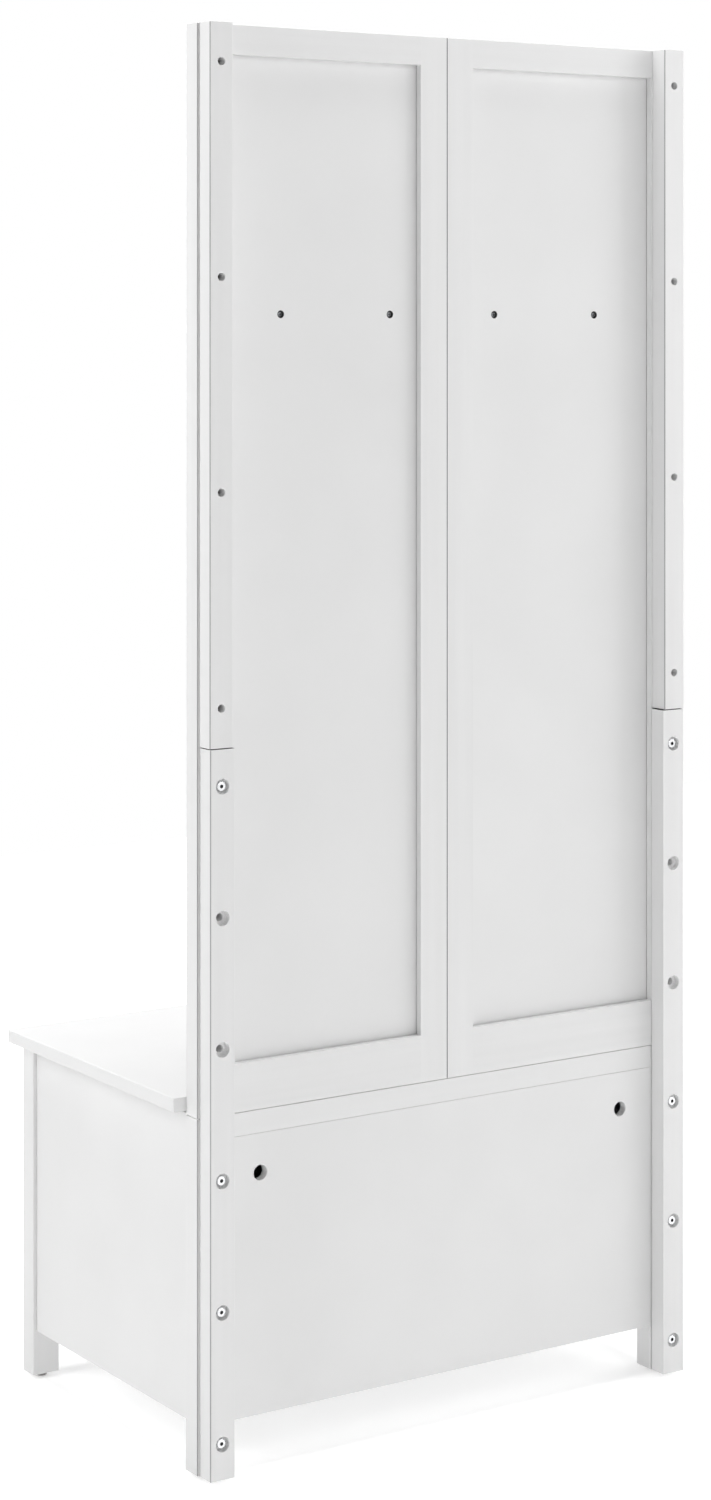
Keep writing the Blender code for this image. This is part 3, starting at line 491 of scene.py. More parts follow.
def turn(name: str, rings: Sequence[Pair], material: Finish, steps: int = 48) -> Piece:
    """Turn a solid about Z, as on a lathe.

    Args:
        name: the solid's name.
        rings: the radius and height of each ring of its outline, from one end to the other.
        material: its finish.
        steps: faces round it.

    Returns:
        The solid.
    """
    (radius, height), *others = rings
    pick()
    bpy.ops.mesh.primitive_circle_add(vertices=steps, radius=radius, fill_type="NGON",
                                      location=(0, 0, height))
    solid = named(name, material)
    settle(solid)
    bpy.ops.object.mode_set(mode="EDIT")
    bpy.ops.mesh.select_mode(type="FACE")
    bpy.ops.mesh.select_all(action="SELECT")
    for next_radius, next_height in others:
        scale = next_radius / radius
        bpy.ops.mesh.extrude_region_move(TRANSFORM_OT_translate={"value": (0, 0, next_height - height)})
        bpy.ops.transform.resize(value=(scale, scale, 1), center_override=(0, 0, next_height))
        radius, height = next_radius, next_height
    face_outwards()
    bpy.ops.object.mode_set(mode="OBJECT")
    return solid


def dress(piece: Piece, material: Finish, chosen: Chooser) -> None:
    """Give some faces of a piece a finish of their own.

    Args:
        piece: the piece.
        material: the finish.
        chosen: says, from a face's middle and normal, whether it takes the finish.
    """
    slot = len(piece.data.materials)
    piece.data.materials.append(material)
    for face in piece.data.polygons:
        if chosen(face.center, face.normal):
            face.material_index = slot


def face_outwards() -> None:
    """In edit mode, point every face outwards."""
    bpy.ops.mesh.select_all(action="SELECT")
    bpy.ops.mesh.normals_make_consistent(inside=False)


def join(pieces: Sequence[Piece]) -> Piece:
    """Gather pieces into the first one."""
    pick(*pieces)
    if len(pieces) > 1:
        bpy.ops.object.join()
    return pieces[0]


def apply_tool(piece: Piece, tool: Piece, operation: str = "DIFFERENCE") -> None:
    """Cut a piece with a tool, or weld the tool on. The tool's faces keep its own finish."""
    modifier = piece.modifiers.new(tool.name, "BOOLEAN")
    modifier.operation = operation
    modifier.solver = "EXACT"
    modifier.material_mode = "TRANSFER"
    modifier.object = tool
    pick(piece)
    bpy.ops.object.modifier_apply(modifier=modifier.name)
    discard(tool)


def copy_of(piece: Piece, name: str, shift: Sequence[float]) -> Piece:
    """Copy a settled piece with its own mesh, moved by a shift."""
    pick(piece)
    bpy.ops.object.duplicate(linked=False)
    twin = bpy.context.object
    twin.name = name
    twin.data.name = name
    return put(twin, shift)


def shade(piece: Piece) -> None:
    """Shade curves smooth and keep broad faces flat."""
    pick(piece)
    bpy.ops.object.shade_smooth_by_angle(angle=SMOOTH_BELOW)
    even = piece.modifiers.new("even_faces", "WEIGHTED_NORMAL")
    even.keep_sharp = True
    even.weight = 100
    bpy.ops.object.modifier_apply(modifier=even.name)


def discard(*pieces: Piece) -> None:
    """Remove patterns that have been copied, or tools that have been used."""
    for piece in pieces:
        bpy.data.objects.remove(piece, do_unlink=True)


def enter(piece: Piece, *nodes: str, slot: Slot = Slot.WHITE_PAINT, body: Body = Body.CARCASS) -> None:
    """Hand a finished piece to the frame and report it.

    Args:
        piece: the piece, in its place.
        nodes: the CAD nodes it stands for.
        slot: not used.
        body: the body it rides on.
    """
    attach(piece, body.value)
    if nodes:
        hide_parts(*nodes)
    LOG.info("%s: %d faces, rides on %s", piece.name, len(piece.data.polygons), body.value)


def finished(node: str) -> str:
    """The name of the piece that stands for a node."""
    return "finished_" + node


def middle_of(node: str) -> Vector:
    """The middle of a node's box."""
    low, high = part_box(node)
    return (low + high) / 2


def open_outer_edge(piece: Piece, node: str, side: Side, radius: float, coat: Finish) -> None:
    """Round the rear outer edge of an upright board, where it looks onto the batten, and paint the
    rounding darker grey as shade in the V-groove.

    Args:
        piece: the board.
        node: its node.
        side: the side it is on.
        radius: how far the rounding reaches.
        coat: the darker grey finish for the rounding, painted shade in the V-groove.
    """
    low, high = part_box(node)
    edge = side.value * max(abs(low.x), abs(high.x))
    ease_edges(piece, radius, 3, lambda middle, along: abs(along.z) > ALONG
               and middle.y > high.y - TOUCH and abs(middle.x - edge) < TOUCH)
    dress(piece, coat, lambda middle, normal: normal.y > ASIDE and side.value * normal.x > ASIDE)


def add_board(node: str, finish: Finish, easing: float, cutters: Sequence[Piece] = (), steps: int = 3,
              slot: Slot = Slot.WHITE_PAINT) -> None:
    """A board as large as its node, finished and handed in.

    Args:
        node: its node.
        finish: its finish.
        easing: how far its edges are eased.
        cutters: the tools that cut it, after its edges are eased.
        steps: faces across an eased edge.
        slot: its material slot.
    """
    board = add_block(finished(node), *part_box(node), finish)
    ease_edges(board, easing, steps)
    for cutter in cutters:
        apply_tool(board, cutter)
    shade(board)
    enter(board, node, slot=slot)


def rear_bore(place: Sequence[float], steps: Sequence[Pair], flare: float, material: Finish) -> Piece:
    """A cutter for a round hole that opens to the rear.

    Args:
        place: the middle of its mouth, on the face it opens in.
        steps: the radius of each part of the hole and how deep that part reaches, widest first.
        flare: how far the mouth is eased.
        material: the finish of its walls.

    Returns:
        The cutter.
    """
    wide = steps[0][0]
    rings = [(wide + 3 * flare, 2 * flare), (wide, -flare)]
    for index, (radius, depth) in enumerate(steps):
        if index:
            rings.append((radius, -steps[index - 1][1]))
        rings.append((radius, -depth))
    return put(turn("bore", rings, material, BORE_FACES), place, REARWARD)


# ---- Back ----
@dataclass
class BackFrame:
    """One framed panel of the back: two stiles, two rails, and a panel in their grooves."""

    side: Side
    finishes: Finishes
    hooks: tuple[int, int]  # the numbers of the hooks on it
    outer_easing: float = 0.0010
    seam_easing: float = 0.0013  # along the edge that looks onto the batten, in a dark V-groove
    seam_closed_by: float = 0.0003  # how far paint closes the seam in the middle, on each side
    groove_end: float = 0.010  # how far a rail's groove runs past its joints
    mouth_easing: float = 0.0005  # along the edges that look onto the panel
    groove_depth: float = 0.009
    panel_gap: float = 0.0009
    top_gap: float = 0.0002  # behind the panel in the top rail, where the paint nearly fills it
    screw_counterbore: Pair = (0.0048, 0.004)
    screw_clearance: Pair = (0.0024, 0.012)
    screw_mouth: float = 0.0003

    def __post_init__(self) -> None:
        """Find the opening between the stiles and the rails."""
        inner_low, inner_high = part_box(self.side.node("inner_stile"))
        outer_low, outer_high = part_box(self.side.node("outer_stile"))
        if self.side is Side.RIGHT:
            self.x_low, self.x_high = inner_high.x, outer_low.x
        else:
            self.x_low, self.x_high = outer_high.x, inner_low.x
        self.z_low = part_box(self.side.node("bottom_rail"))[1].z
        self.z_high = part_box(self.side.node("top_rail"))[0].z
        self.panel_low, self.panel_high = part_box(self.side.node("back_panel"))

    def build(self) -> None:
        """Build and dress the frame."""
        for name in ("outer_stile", "inner_stile"):
            self.add_stile(self.side.node(name))
        self.add_rail(self.side.node("top_rail"), self.z_high)
        self.add_rail(self.side.node("bottom_rail"), self.z_low)
        self.add_panel(self.side.node("back_panel"))

    def faces_panel(self, middle: Vector) -> bool:
        """Whether an upright edge lies on a stile's side that looks onto the panel."""
        return min(abs(middle.x - self.x_low), abs(middle.x - self.x_high)) < TOUCH

    def add_stile(self, node: str) -> None:
        """A stile: its inner side is eased only between the rails, where the joints end."""
        low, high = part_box(node)
        if node.startswith("inner"):
            seam_corner = low if self.side is Side.RIGHT else high
            seam_corner.x -= self.side.value * self.seam_closed_by
        stile = add_block(finished(node), low, high, self.finishes.upright)
        score(stile, (self.z_low, self.z_high))
        ease_edges(stile, self.mouth_easing, 2,
                   lambda middle, along: self.faces_panel(middle) and abs(along.z) > ALONG
                   and self.z_low < middle.z < self.z_high)
        if node.startswith("outer"):
            # Its seam edge's rounding is painted darker grey: painted shade in the V-groove.
            open_outer_edge(stile, node, self.side, self.seam_easing, self.finishes.thin_coat)
        ease_edges(stile, self.outer_easing, 3,
                   lambda middle, along: min(abs(middle.x - self.x_low),
                                             abs(middle.x - self.x_high)) > self.mouth_easing * 2)
        # Painted shade: the faces in the centre seam and the panel's groove walls are near-black, for the
        # shade in those gaps.
        dress(stile, self.finishes.raw_bore, lambda middle, normal: abs(middle.x) < TOUCH * 2)
        self.cut_groove(stile, (self.x_low - self.groove_depth, self.z_low - self.groove_depth),
                        (self.x_high + self.groove_depth, self.z_high + self.groove_depth),
                        self.panel_gap, self.finishes.raw_bore)
        shade(stile)
        enter(stile, node)

    def add_rail(self, node: str, mouth: float) -> None:
        """A rail between the stiles, flush with them, its joints filled by the paint."""
        low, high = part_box(node)
        rail = add_block(finished(node), (self.x_low, low.y, low.z), (self.x_high, high.y, high.z),
                         self.finishes.across)
        ease_edges(rail, self.mouth_easing, 2,
                   lambda middle, along: abs(along.x) > ALONG and abs(middle.z - mouth) < TOUCH)
        ease_edges(rail, self.outer_easing, 3,
                   lambda middle, along: abs(along.x) > ALONG and abs(middle.z - mouth) > self.groove_depth)
        at_top = mouth == self.z_high
        # The bottom rail's groove walls are near-black, painted shade in the gap; the top groove stays
        # pale.
        finish = self.finishes.bored if at_top else self.finishes.raw_bore
        self.cut_groove(rail, (self.x_low - self.groove_end, self.z_low - self.groove_depth),
                        (self.x_high + self.groove_end, self.z_high + self.groove_depth),
                        self.top_gap if at_top else self.panel_gap, finish)
        shade(rail)
        enter(rail, node)

    def cut_groove(self, piece: Piece, low: Pair, high: Pair, gap: float, finish: Finish) -> None:
        """Cut the panel's groove, from a low to a high corner given as X and Z.

        Args:
            piece: the stile or rail.
            low: the low corner.
            high: the high corner.
            gap: the room behind the panel.
            finish: the groove's finish.
        """
        groove = add_block("groove", (low[0], self.panel_low.y - self.panel_gap, low[1]),
                           (high[0], self.panel_high.y + gap, high[1]), finish)
        apply_tool(piece, groove)

    def add_panel(self, node: str) -> None:
        """The panel, with a counterbored hole for each hook's screw."""
        holes = []
        for number in self.hooks:
            place = middle_of("hook_screw_" + str(number))
            place.y = self.panel_high.y
            # The holes' walls are near-black: painted shade inside the holes.
            holes.append(rear_bore(place, (self.screw_counterbore, self.screw_clearance),
                                   self.screw_mouth, self.finishes.raw_bore))
        add_board(node, self.finishes.panel, self.mouth_easing, [join(holes)], 2, Slot.PANEL_PAINT)


@dataclass
class Battens:
    """The strips behind one outer stile: the upper one screwed on, the lower one bolted on."""

    side: Side
    finishes: Finishes
    easing: float = 0.0010
    seam_easing: float = 0.0026  # along the edges against the stile, for a dark V-groove
    joint_easing: float = 0.0004  # where the two battens meet end to end
    mouth: float = 0.0003
    bolts: tuple[int, ...] = (1, 2, 3, 6)
    bolt_pitch: float = 0.165
    bolt_holes: int = 6
    bolt_first: float = 0.045  # from the batten's bottom to its first hole
    bolt_counterbore: Pair = (0.00975, 0.008)
    bolt_clearance: Pair = (0.005, 0.0275)
    screw_holes: int = 4
    screw_from_end: float = 0.050
    screw_counterbore: Pair = (0.00525, 0.014)

    def build(self) -> None:
        """Build and dress both battens with what holds them."""
        self.add_lower(self.side.node("lower_batten"))
        self.add_upper(self.side.node("upper_batten"))

    def add_batten(self, node: str, heights: Sequence[float], steps: Sequence[Pair], lower: bool) -> Pair:
        """A batten with a row of holes.

        Args:
            node: the batten's node.
            heights: the height of each hole.
            steps: the parts of each hole, as rear_bore takes them.
            lower: whether it is the lower one, whose inner seam is an open V-groove as well.

        Returns:
            X of the row of holes, and Y of the face they open in.
        """
        low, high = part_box(node)
        x = (low.x + high.x) / 2
        batten = add_block(finished(node), low, high, self.finishes.upright)
        ease_edges(batten, self.seam_easing, 2,
                   lambda middle, along: abs(along.z) > ALONG and middle.y < low.y + TOUCH
                   and (lower or abs(middle.x) > abs(x)))
        joint = high.z if lower else low.z
        ease_edges(batten, self.joint_easing, 3,
                   lambda middle, along: abs(along.z) < ASIDE and abs(middle.z - joint) < TOUCH)
        ease_edges(batten, self.easing, 3, lambda middle, along: middle.y > low.y + self.seam_easing * 2)
        # A darker grey along the rear arris of these battens that looks to +X.
        if self.side is Side.RIGHT or not lower:
            dress(batten, self.finishes.thin_coat,
                  lambda middle, normal: normal.x > ASIDE and normal.y > ASIDE and abs(normal.z) < ASIDE)
        # The ends at the joint are painted near-black: painted shade in the joint's gap.
        dress(batten, self.finishes.raw_bore,
              lambda middle, normal: abs(normal.z) > ALONG and abs(middle.z - joint) < TOUCH)
        holes = [rear_bore((x, high.y, z), steps, self.mouth, self.finishes.bored) for z in heights]
        apply_tool(batten, join(holes))
        shade(batten)
        enter(batten, node)
        return x, high.y

    def add_lower(self, node: str) -> None:
        """The lower batten and its bolts. Two of its holes stay empty."""
        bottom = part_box(node)[0].z
        heights = [bottom + self.bolt_first + i * self.bolt_pitch for i in range(self.bolt_holes)]
        x, rear = self.add_batten(node, heights, (self.bolt_counterbore, self.bolt_clearance), True)
        seat = rear - self.bolt_counterbore[1] + TOUCH
        bolt_kind = Bolt(self.finishes.zinc, self.finishes.black_steel)
        pattern = bolt_kind.make("bolt_pattern", (x, seat, 0.0))
        for number in self.bolts:
            bolt_node = self.side.node("batten_bolt") + "_" + str(number)
            bolt = copy_of(pattern, finished(bolt_node), (0, 0, heights[number - 1]))
            enter(bolt, bolt_node, slot=Slot.BOLT_ZINC)
        discard(pattern)

    def add_upper(self, node: str) -> None:
        """The upper batten and the screws at the bottom of its holes."""
        low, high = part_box(node)
        span = (high.z - low.z - 2 * self.screw_from_end) / (self.screw_holes - 1)
        heights = [low.z + self.screw_from_end + i * span for i in range(self.screw_holes)]
        x, rear = self.add_batten(node, heights, (self.screw_counterbore,), False)
        seat = rear - self.screw_counterbore[1] + TOUCH / 3
        black = self.finishes.black_steel
        screw_kind = Screw(black, black, head=0.0042, height=0.0026, shank=0.0)
        pattern = screw_kind.make("screw_pattern", (x, seat, 0.0))
        for number, height in enumerate(heights):
            name = self.side.node("upper_batten_screw") + "_" + str(number + 1)
            enter(copy_of(pattern, name, (0, 0, height)), slot=Slot.SCREW_STEEL)
        discard(pattern)


# ---- Screws and bolts ----
@dataclass
class Bolt:
    """A zinc-plated socket-head bolt, its socket painted near-black as shade."""

    finish: Finish
    # The socket's finish is near-black: painted shade inside the socket.
    socket_finish: Finish
    head: float = 0.006
    height: float = 0.005
    shank: float = 0.003
    length: float = 0.037
    crown: float = 0.0011
    socket: float = 0.0023  # from its middle to a corner
    socket_depth: float = 0.003

    def make(self, name: str, place: Sequence[float]) -> Piece:
        """Turn the bolt, cut its socket and face it to the rear.

        Args:
            name: its name.
            place: the middle of the seat of its head.

        Returns:
            The bolt.
        """
        top, crown = self.height, self.crown
        bolt = turn(name, [
            (self.shank * 0.8, -self.length), (self.shank, -self.length + self.shank * 0.3),
            (self.shank, 0), (self.head - crown * 0.2, 0), (self.head, crown * 0.2),
            (self.head, top - crown), (self.head - crown * 0.13, top - crown * 0.5),
            (self.head - crown * 0.5, top - crown * 0.13), (self.head - crown, top)], self.finish)
        socket = turn("socket", [
            (self.socket * 0.2, top - self.socket_depth - self.socket * 0.4),
            (self.socket, top - self.socket_depth), (self.socket, top - self.socket * 0.15),
            (self.socket * 1.3, top + self.socket * 0.15)], self.socket_finish, 6)
        apply_tool(bolt, socket)
        shade(bolt)
        return put(bolt, place, REARWARD)


@dataclass
class Screw:
    """A pan-head screw with a cross recess, painted dark inside as shade."""

    finish: Finish
    # The recess's finish is dark: painted shade inside the cross.
    recess_finish: Finish
    head: float = 0.0036
    height: float = 0.0022
    shank: float = 0.015  # its length, or 0 where only the head is modelled
    core: float = 0.002
    blade: float = 0.0006  # half the width of a leg of the cross

    def make(self, name: str, place: Sequence[float]) -> Piece:
        """Turn the screw, cut its cross and face it to the rear.

        Args:
            name: its name.
            place: the middle of the seat of its head.

        Returns:
            The screw.
        """
        top = self.height
        rings = [(self.head, 0), (self.head * 0.97, top * 0.35), (self.head * 0.86, top * 0.68),
                 (self.head * 0.66, top * 0.9), (self.head * 0.4, top)]
        if self.shank:
            rings = [(self.core * 0.4, -self.shank), (self.core, -self.shank * 0.8),
                     (self.core, 0)] + rings
        screw = turn(name, rings, self.finish, 32)
        reach, blade = self.head * 0.52, self.blade
        for x, y in ((reach, blade), (blade, reach)):
            leg = add_block("leg", (-x, -y, top * 0.25), (x, y, top * 1.5), self.recess_finish)
            apply_tool(screw, leg)
        shade(screw)
        return put(screw, place, REARWARD)


# ---- Coat hooks ----
@dataclass
class CoatHooks:
    """Four cast double hooks on the front of the panels, each held by a screw from behind."""

    finishes: Finishes
    count: int = 4
    base: float = 0.017
    base_thickness: float = 0.005
    bar: float = 0.0048
    bar_faces: int = 20  # round the bar
    bar_steps: int = 6  # from one point of its route to the next
    upper_ball: float = 0.0085
    lower_ball: float = 0.0068
    grain_size: float = 0.0008  # of the mesh that melts the cast parts together
    softening: tuple[float, int] = (0.5, 6)
    upper_route: tuple = ((0.003, 0.0), (0.022, 0.0), (0.044, 0.006), (0.057, 0.024), (0.061, 0.047))
    lower_route: tuple = ((0.015, 0.0), (0.0175, -0.016), (0.029, -0.030), (0.042, -0.027),
                          (0.0485, -0.015))

    def build(self) -> None:
        """Build and dress the hooks and their screws."""
        first = Vector((middle_of("coat_hook_1").x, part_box("coat_hook_1")[1].y,
                        middle_of("hook_screw_1").z))
        pattern = self.cast_hook("hook_pattern", first)
        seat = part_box("hook_screw_1")[1].y - Screw.height
        screw_kind = Screw(self.finishes.hook_screw, self.finishes.black_steel)
        screw = screw_kind.make("hook_screw_pattern", (first.x, seat, first.z))
        for number in range(1, self.count + 1):
            node = "coat_hook_" + str(number)
            shift = (middle_of(node).x - first.x, 0, 0)
            enter(copy_of(pattern, finished(node), shift), node, slot=Slot.HOOK_NICKEL)
            screw_node = "hook_screw_" + str(number)
            enter(copy_of(screw, finished(screw_node), shift), screw_node, slot=Slot.SCREW_STEEL)
        discard(pattern, screw)

    def route_points(self, route: Sequence[Pair]) -> list[Vector]:
        """Points on a smooth line through a route.

        Args:
            route: how far forward and how high each point is.

        Returns:
            The points, forward along -Y.
        """
        ends = [Vector((0, -forward, height)) for forward, height in route]
        points = []
        for i in range(len(ends) - 1):
            before, start = ends[max(i - 1, 0)], ends[i]
            end, after = ends[i + 1], ends[min(i + 2, len(ends) - 1)]
            for k in range(self.bar_steps):
                t = k / self.bar_steps
                points.append(0.5 * (2 * start + (end - before) * t
                                     + (2 * before - 5 * start + 4 * end - after) * t ** 2
                                     + (3 * start - before - 3 * end + after) * t ** 3))
        return points + [ends[-1]]

    def add_bar(self, name: str, route: Sequence[Pair]) -> Piece:
        """Draw a round bar along a route by extruding its end again and again."""
        points = self.route_points(route)
        heading = points[1] - points[0]
        pick()
        bpy.ops.mesh.primitive_circle_add(
            vertices=self.bar_faces, radius=self.bar, fill_type="NGON", location=points[0],
            rotation=heading.to_track_quat("Z", "Y").to_euler())
        bar = named(name, self.finishes.nickel)
        settle(bar)
        bpy.ops.object.mode_set(mode="EDIT")
        bpy.ops.mesh.select_mode(type="FACE")
        bpy.ops.mesh.select_all(action="SELECT")
        for i in range(1, len(points)):
            bpy.ops.mesh.extrude_region_move(TRANSFORM_OT_translate={"value": points[i] - points[i - 1]})
            if i + 1 < len(points):
                next_heading = points[i + 1] - points[i - 1]
                bend = math.atan2(next_heading.z, -next_heading.y) - math.atan2(heading.z, -heading.y)
                bpy.ops.transform.rotate(value=bend, orient_axis="X", center_override=points[i])
                heading = next_heading
        face_outwards()
        bpy.ops.object.mode_set(mode="OBJECT")
        return bar

    def add_ball(self, name: str, radius: float, end: Pair) -> Piece:
        """A slightly flattened ball on the end of a bar."""
        pick()
        bpy.ops.mesh.primitive_uv_sphere_add(segments=32, ring_count=16, radius=radius,
                                             location=(0, -end[0], end[1]), scale=(1, 1, 0.94))
        ball = named(name, self.finishes.nickel)
        settle(ball)
        return ball

    def cast_hook(self, name: str, place: Vector) -> Piece:
        """Cast a hook: its parts melt together with soft fillets.

        Args:
            name: its name.
            place: the middle of its back.

        Returns:
            The hook.
        """
        thick, rim = self.base_thickness, self.base_thickness * 0.3
        base = put(turn(name, [
            (self.base, 0), (self.base, thick - rim * 1.6), (self.base - rim * 0.3, thick - rim * 0.8),
            (self.base - rim, thick - rim * 0.3), (self.base - rim * 2.4, thick),
            (self.bar * 1.9, thick), (self.bar * 1.35, thick * 1.15), (self.bar * 1.1, thick * 1.5)],
            self.finishes.nickel, 64), (0, 0, 0), (math.pi / 2, 0, 0))
        hook = join([base, self.add_bar("upper_bar", self.upper_route),
                     self.add_bar("lower_bar", self.lower_route),
                     self.add_ball("upper_ball", self.upper_ball, self.upper_route[-1]),
                     self.add_ball("lower_ball", self.lower_ball, self.lower_route[-1])])
        melt = hook.modifiers.new("melt", "REMESH")
        melt.mode = "VOXEL"
        melt.voxel_size = self.grain_size
        pick(hook)
        bpy.ops.object.modifier_apply(modifier=melt.name)
        soften = hook.modifiers.new("soften", "SMOOTH")
        soften.factor, soften.iterations = self.softening
        bpy.ops.object.modifier_apply(modifier=soften.name)
        bpy.ops.object.shade_smooth()
        return put(hook, place)


# ---- Bench ----
@dataclass
class Bench:
    """The box under the seat: legs, sides, back, floor and framed front."""

    finishes: Finishes
    leg_easing: float = 0.0012
    seam_easing: float = 0.0013
    board_easing: float = 0.0008
    fine_easing: float = 0.0004
    vent: float = 0.010
    vent_height: float = 0.375
    vent_x: float = 0.2905
    vent_depth: float = 0.02
    vent_mouth: float = 0.0004

    def build(self) -> None:
        """Build and dress the bench."""
        for side in Side:
            add_board(side.node("front_leg"), self.finishes.upright, self.leg_easing)
            self.add_rear_leg(side)
            add_board(side.node("side_panel"), self.finishes.lacquer, self.board_easing)
            add_board(side.node("bottom_cleat"), self.finishes.lacquer, self.board_easing)
        add_board("bench_back_rail", self.finishes.across, self.fine_easing)
        self.add_back_panel("bench_back_panel")
        self.add_floor("bench_bottom")
        self.add_front()

    def add_rear_leg(self, side: Side) -> None:
        """A rear leg, its edge beside the batten rounded as the stile's is."""
        node = side.node("rear_leg")
        low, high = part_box(node)
        leg = add_block(finished(node), low, high, self.finishes.upright)
        open_outer_edge(leg, node, side, self.seam_easing, self.finishes.thin_coat)
        ease_edges(leg, self.leg_easing)
        shade(leg)
        enter(leg, node)

    def add_back_panel(self, node: str) -> None:
        """The back panel, with a round vent near each end."""
        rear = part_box(node)[1].y
        vents = [rear_bore((side.value * self.vent_x, rear, self.vent_height),
                           ((self.vent, self.vent_depth),), self.vent_mouth, self.finishes.bored)
                 for side in Side]
        add_board(node, self.finishes.lacquer, self.fine_easing, [join(vents)])

    def add_floor(self, node: str) -> None:
        """The floor of the box, notched round the legs."""
        low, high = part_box(node)
        floor = add_block(finished(node), low, high, self.finishes.lacquer)
        notches = []
        for row in ("front_leg", "rear_leg"):
            for side in Side:
                leg_low, leg_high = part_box(side.node(row))
                spare = Vector((TOUCH, TOUCH, 0))
                notches.append(add_block("notch", leg_low - spare, leg_high + spare, self.finishes.bored))
        apply_tool(floor, join(notches))
        ease_edges(floor, self.fine_easing, 2)
        shade(floor)
        enter(floor, node)

    def add_front(self) -> None:
        """The front: two rails, a muntin and two panels in their grooves."""
        panel_low, panel_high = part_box("front_panel_right")
        bottom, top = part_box("front_bottom_rail")[1].z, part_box("front_top_rail")[0].z
        depth = bottom - panel_low.z + TOUCH
        reach, edge = panel_high.x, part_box("front_muntin")[1].x
        across, upright = self.finishes.across, self.finishes.upright
        for node, finish, spans in (
                ("front_top_rail", across, ((-reach, reach),)),
                ("front_bottom_rail", across, ((-reach, reach),)),
                ("front_muntin", upright, ((-edge, -edge), (edge, edge)))):
            grooves = [add_block("groove", (start - depth, panel_low.y - TOUCH, bottom - depth),
                                 (end + depth, panel_high.y + TOUCH, top + depth), self.finishes.bored)
                       for start, end in spans]
            add_board(node, finish, self.board_easing, grooves)
        for side in Side:
            add_board(side.node("front_panel"), self.finishes.lacquer, self.fine_easing)


@dataclass
class Glides:
    """A moulded tap-in glide under each leg."""

    finishes: Finishes
    foot: float = 0.0085
    height: float = 0.006
    nail: float = 0.0015
    nail_length: float = 0.014

    def build(self) -> None:
        """Build and dress the four glides."""
        foot, height = self.foot, self.height
        pattern = turn("glide_pattern", [
            (foot * 0.45, -height), (foot * 0.72, -height * 0.94), (foot * 0.9, -height * 0.78),
            (foot * 0.98, -height * 0.55), (foot, -height * 0.3), (foot, -TOUCH),
            (self.nail, -TOUCH), (self.nail, self.nail_length)], self.finishes.glide)
        shade(pattern)
        for row in ("front", "rear"):
            for side in Side:
                node = side.node("glide_" + row)
                place = middle_of(node)
                place.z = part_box(node)[0].z + height
                glide = copy_of(pattern, finished(node), place)
                enter(glide, node, slot=Slot.GLIDE_PLASTIC)
        discard(pattern)


# ---- Seat ----
@dataclass
class Seat:
    """The lid that is the seat, cut back round its hinges, with its bumpers."""

    finishes: Finishes
    easing: float = 0.0018
    back_easing: float = 0.0008
    back_gap: float = 0.0008  # between its rear edge and the back
    mortise_gap: float = 0.0012  # at each end of a hinge
    bumper: float = 0.005

    def build(self) -> None:
        """Build and dress the seat and its bumpers."""
        low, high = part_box("seat_lid")
        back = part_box("outer_stile_right")[0].y - self.back_gap
        lid = add_block(finished("seat_lid"), low, (high.x, back, high.z), self.finishes.seat)
        ease_edges(lid, self.easing, 4, lambda middle, along: middle.y < back - TOUCH)
        ease_edges(lid, self.back_easing, 2)
        mortises = []
        for side in Side:
            leaf_low, leaf_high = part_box(side.node("hinge_frame_leaf"))
            mortises.append(add_block(
                "mortise", (leaf_low.x - self.mortise_gap, high.y, low.z - self.easing),
                (leaf_high.x + self.mortise_gap, back + self.easing, high.z + self.easing),
                self.finishes.bored))
        apply_tool(lid, join(mortises))
        shade(lid)
        enter(lid, "seat_lid", slot=Slot.SEAT_PAINT, body=Body.SEAT)
        for side in Side:
            node = side.node("seat_bumper")
            low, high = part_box(node)
            deep = high.z - low.z
            bumper = turn(finished(node), [
                (self.bumper * 0.4, -deep), (self.bumper * 0.68, -deep * 0.9),
                (self.bumper * 0.88, -deep * 0.68), (self.bumper * 0.97, -deep * 0.4),
                (self.bumper, 0)], self.finishes.bumper, 32)
            shade(bumper)
            put(bumper, (*middle_of(node).xy, high.z))
            enter(bumper, node, slot=Slot.BUMPER_RUBBER, body=Body.SEAT)


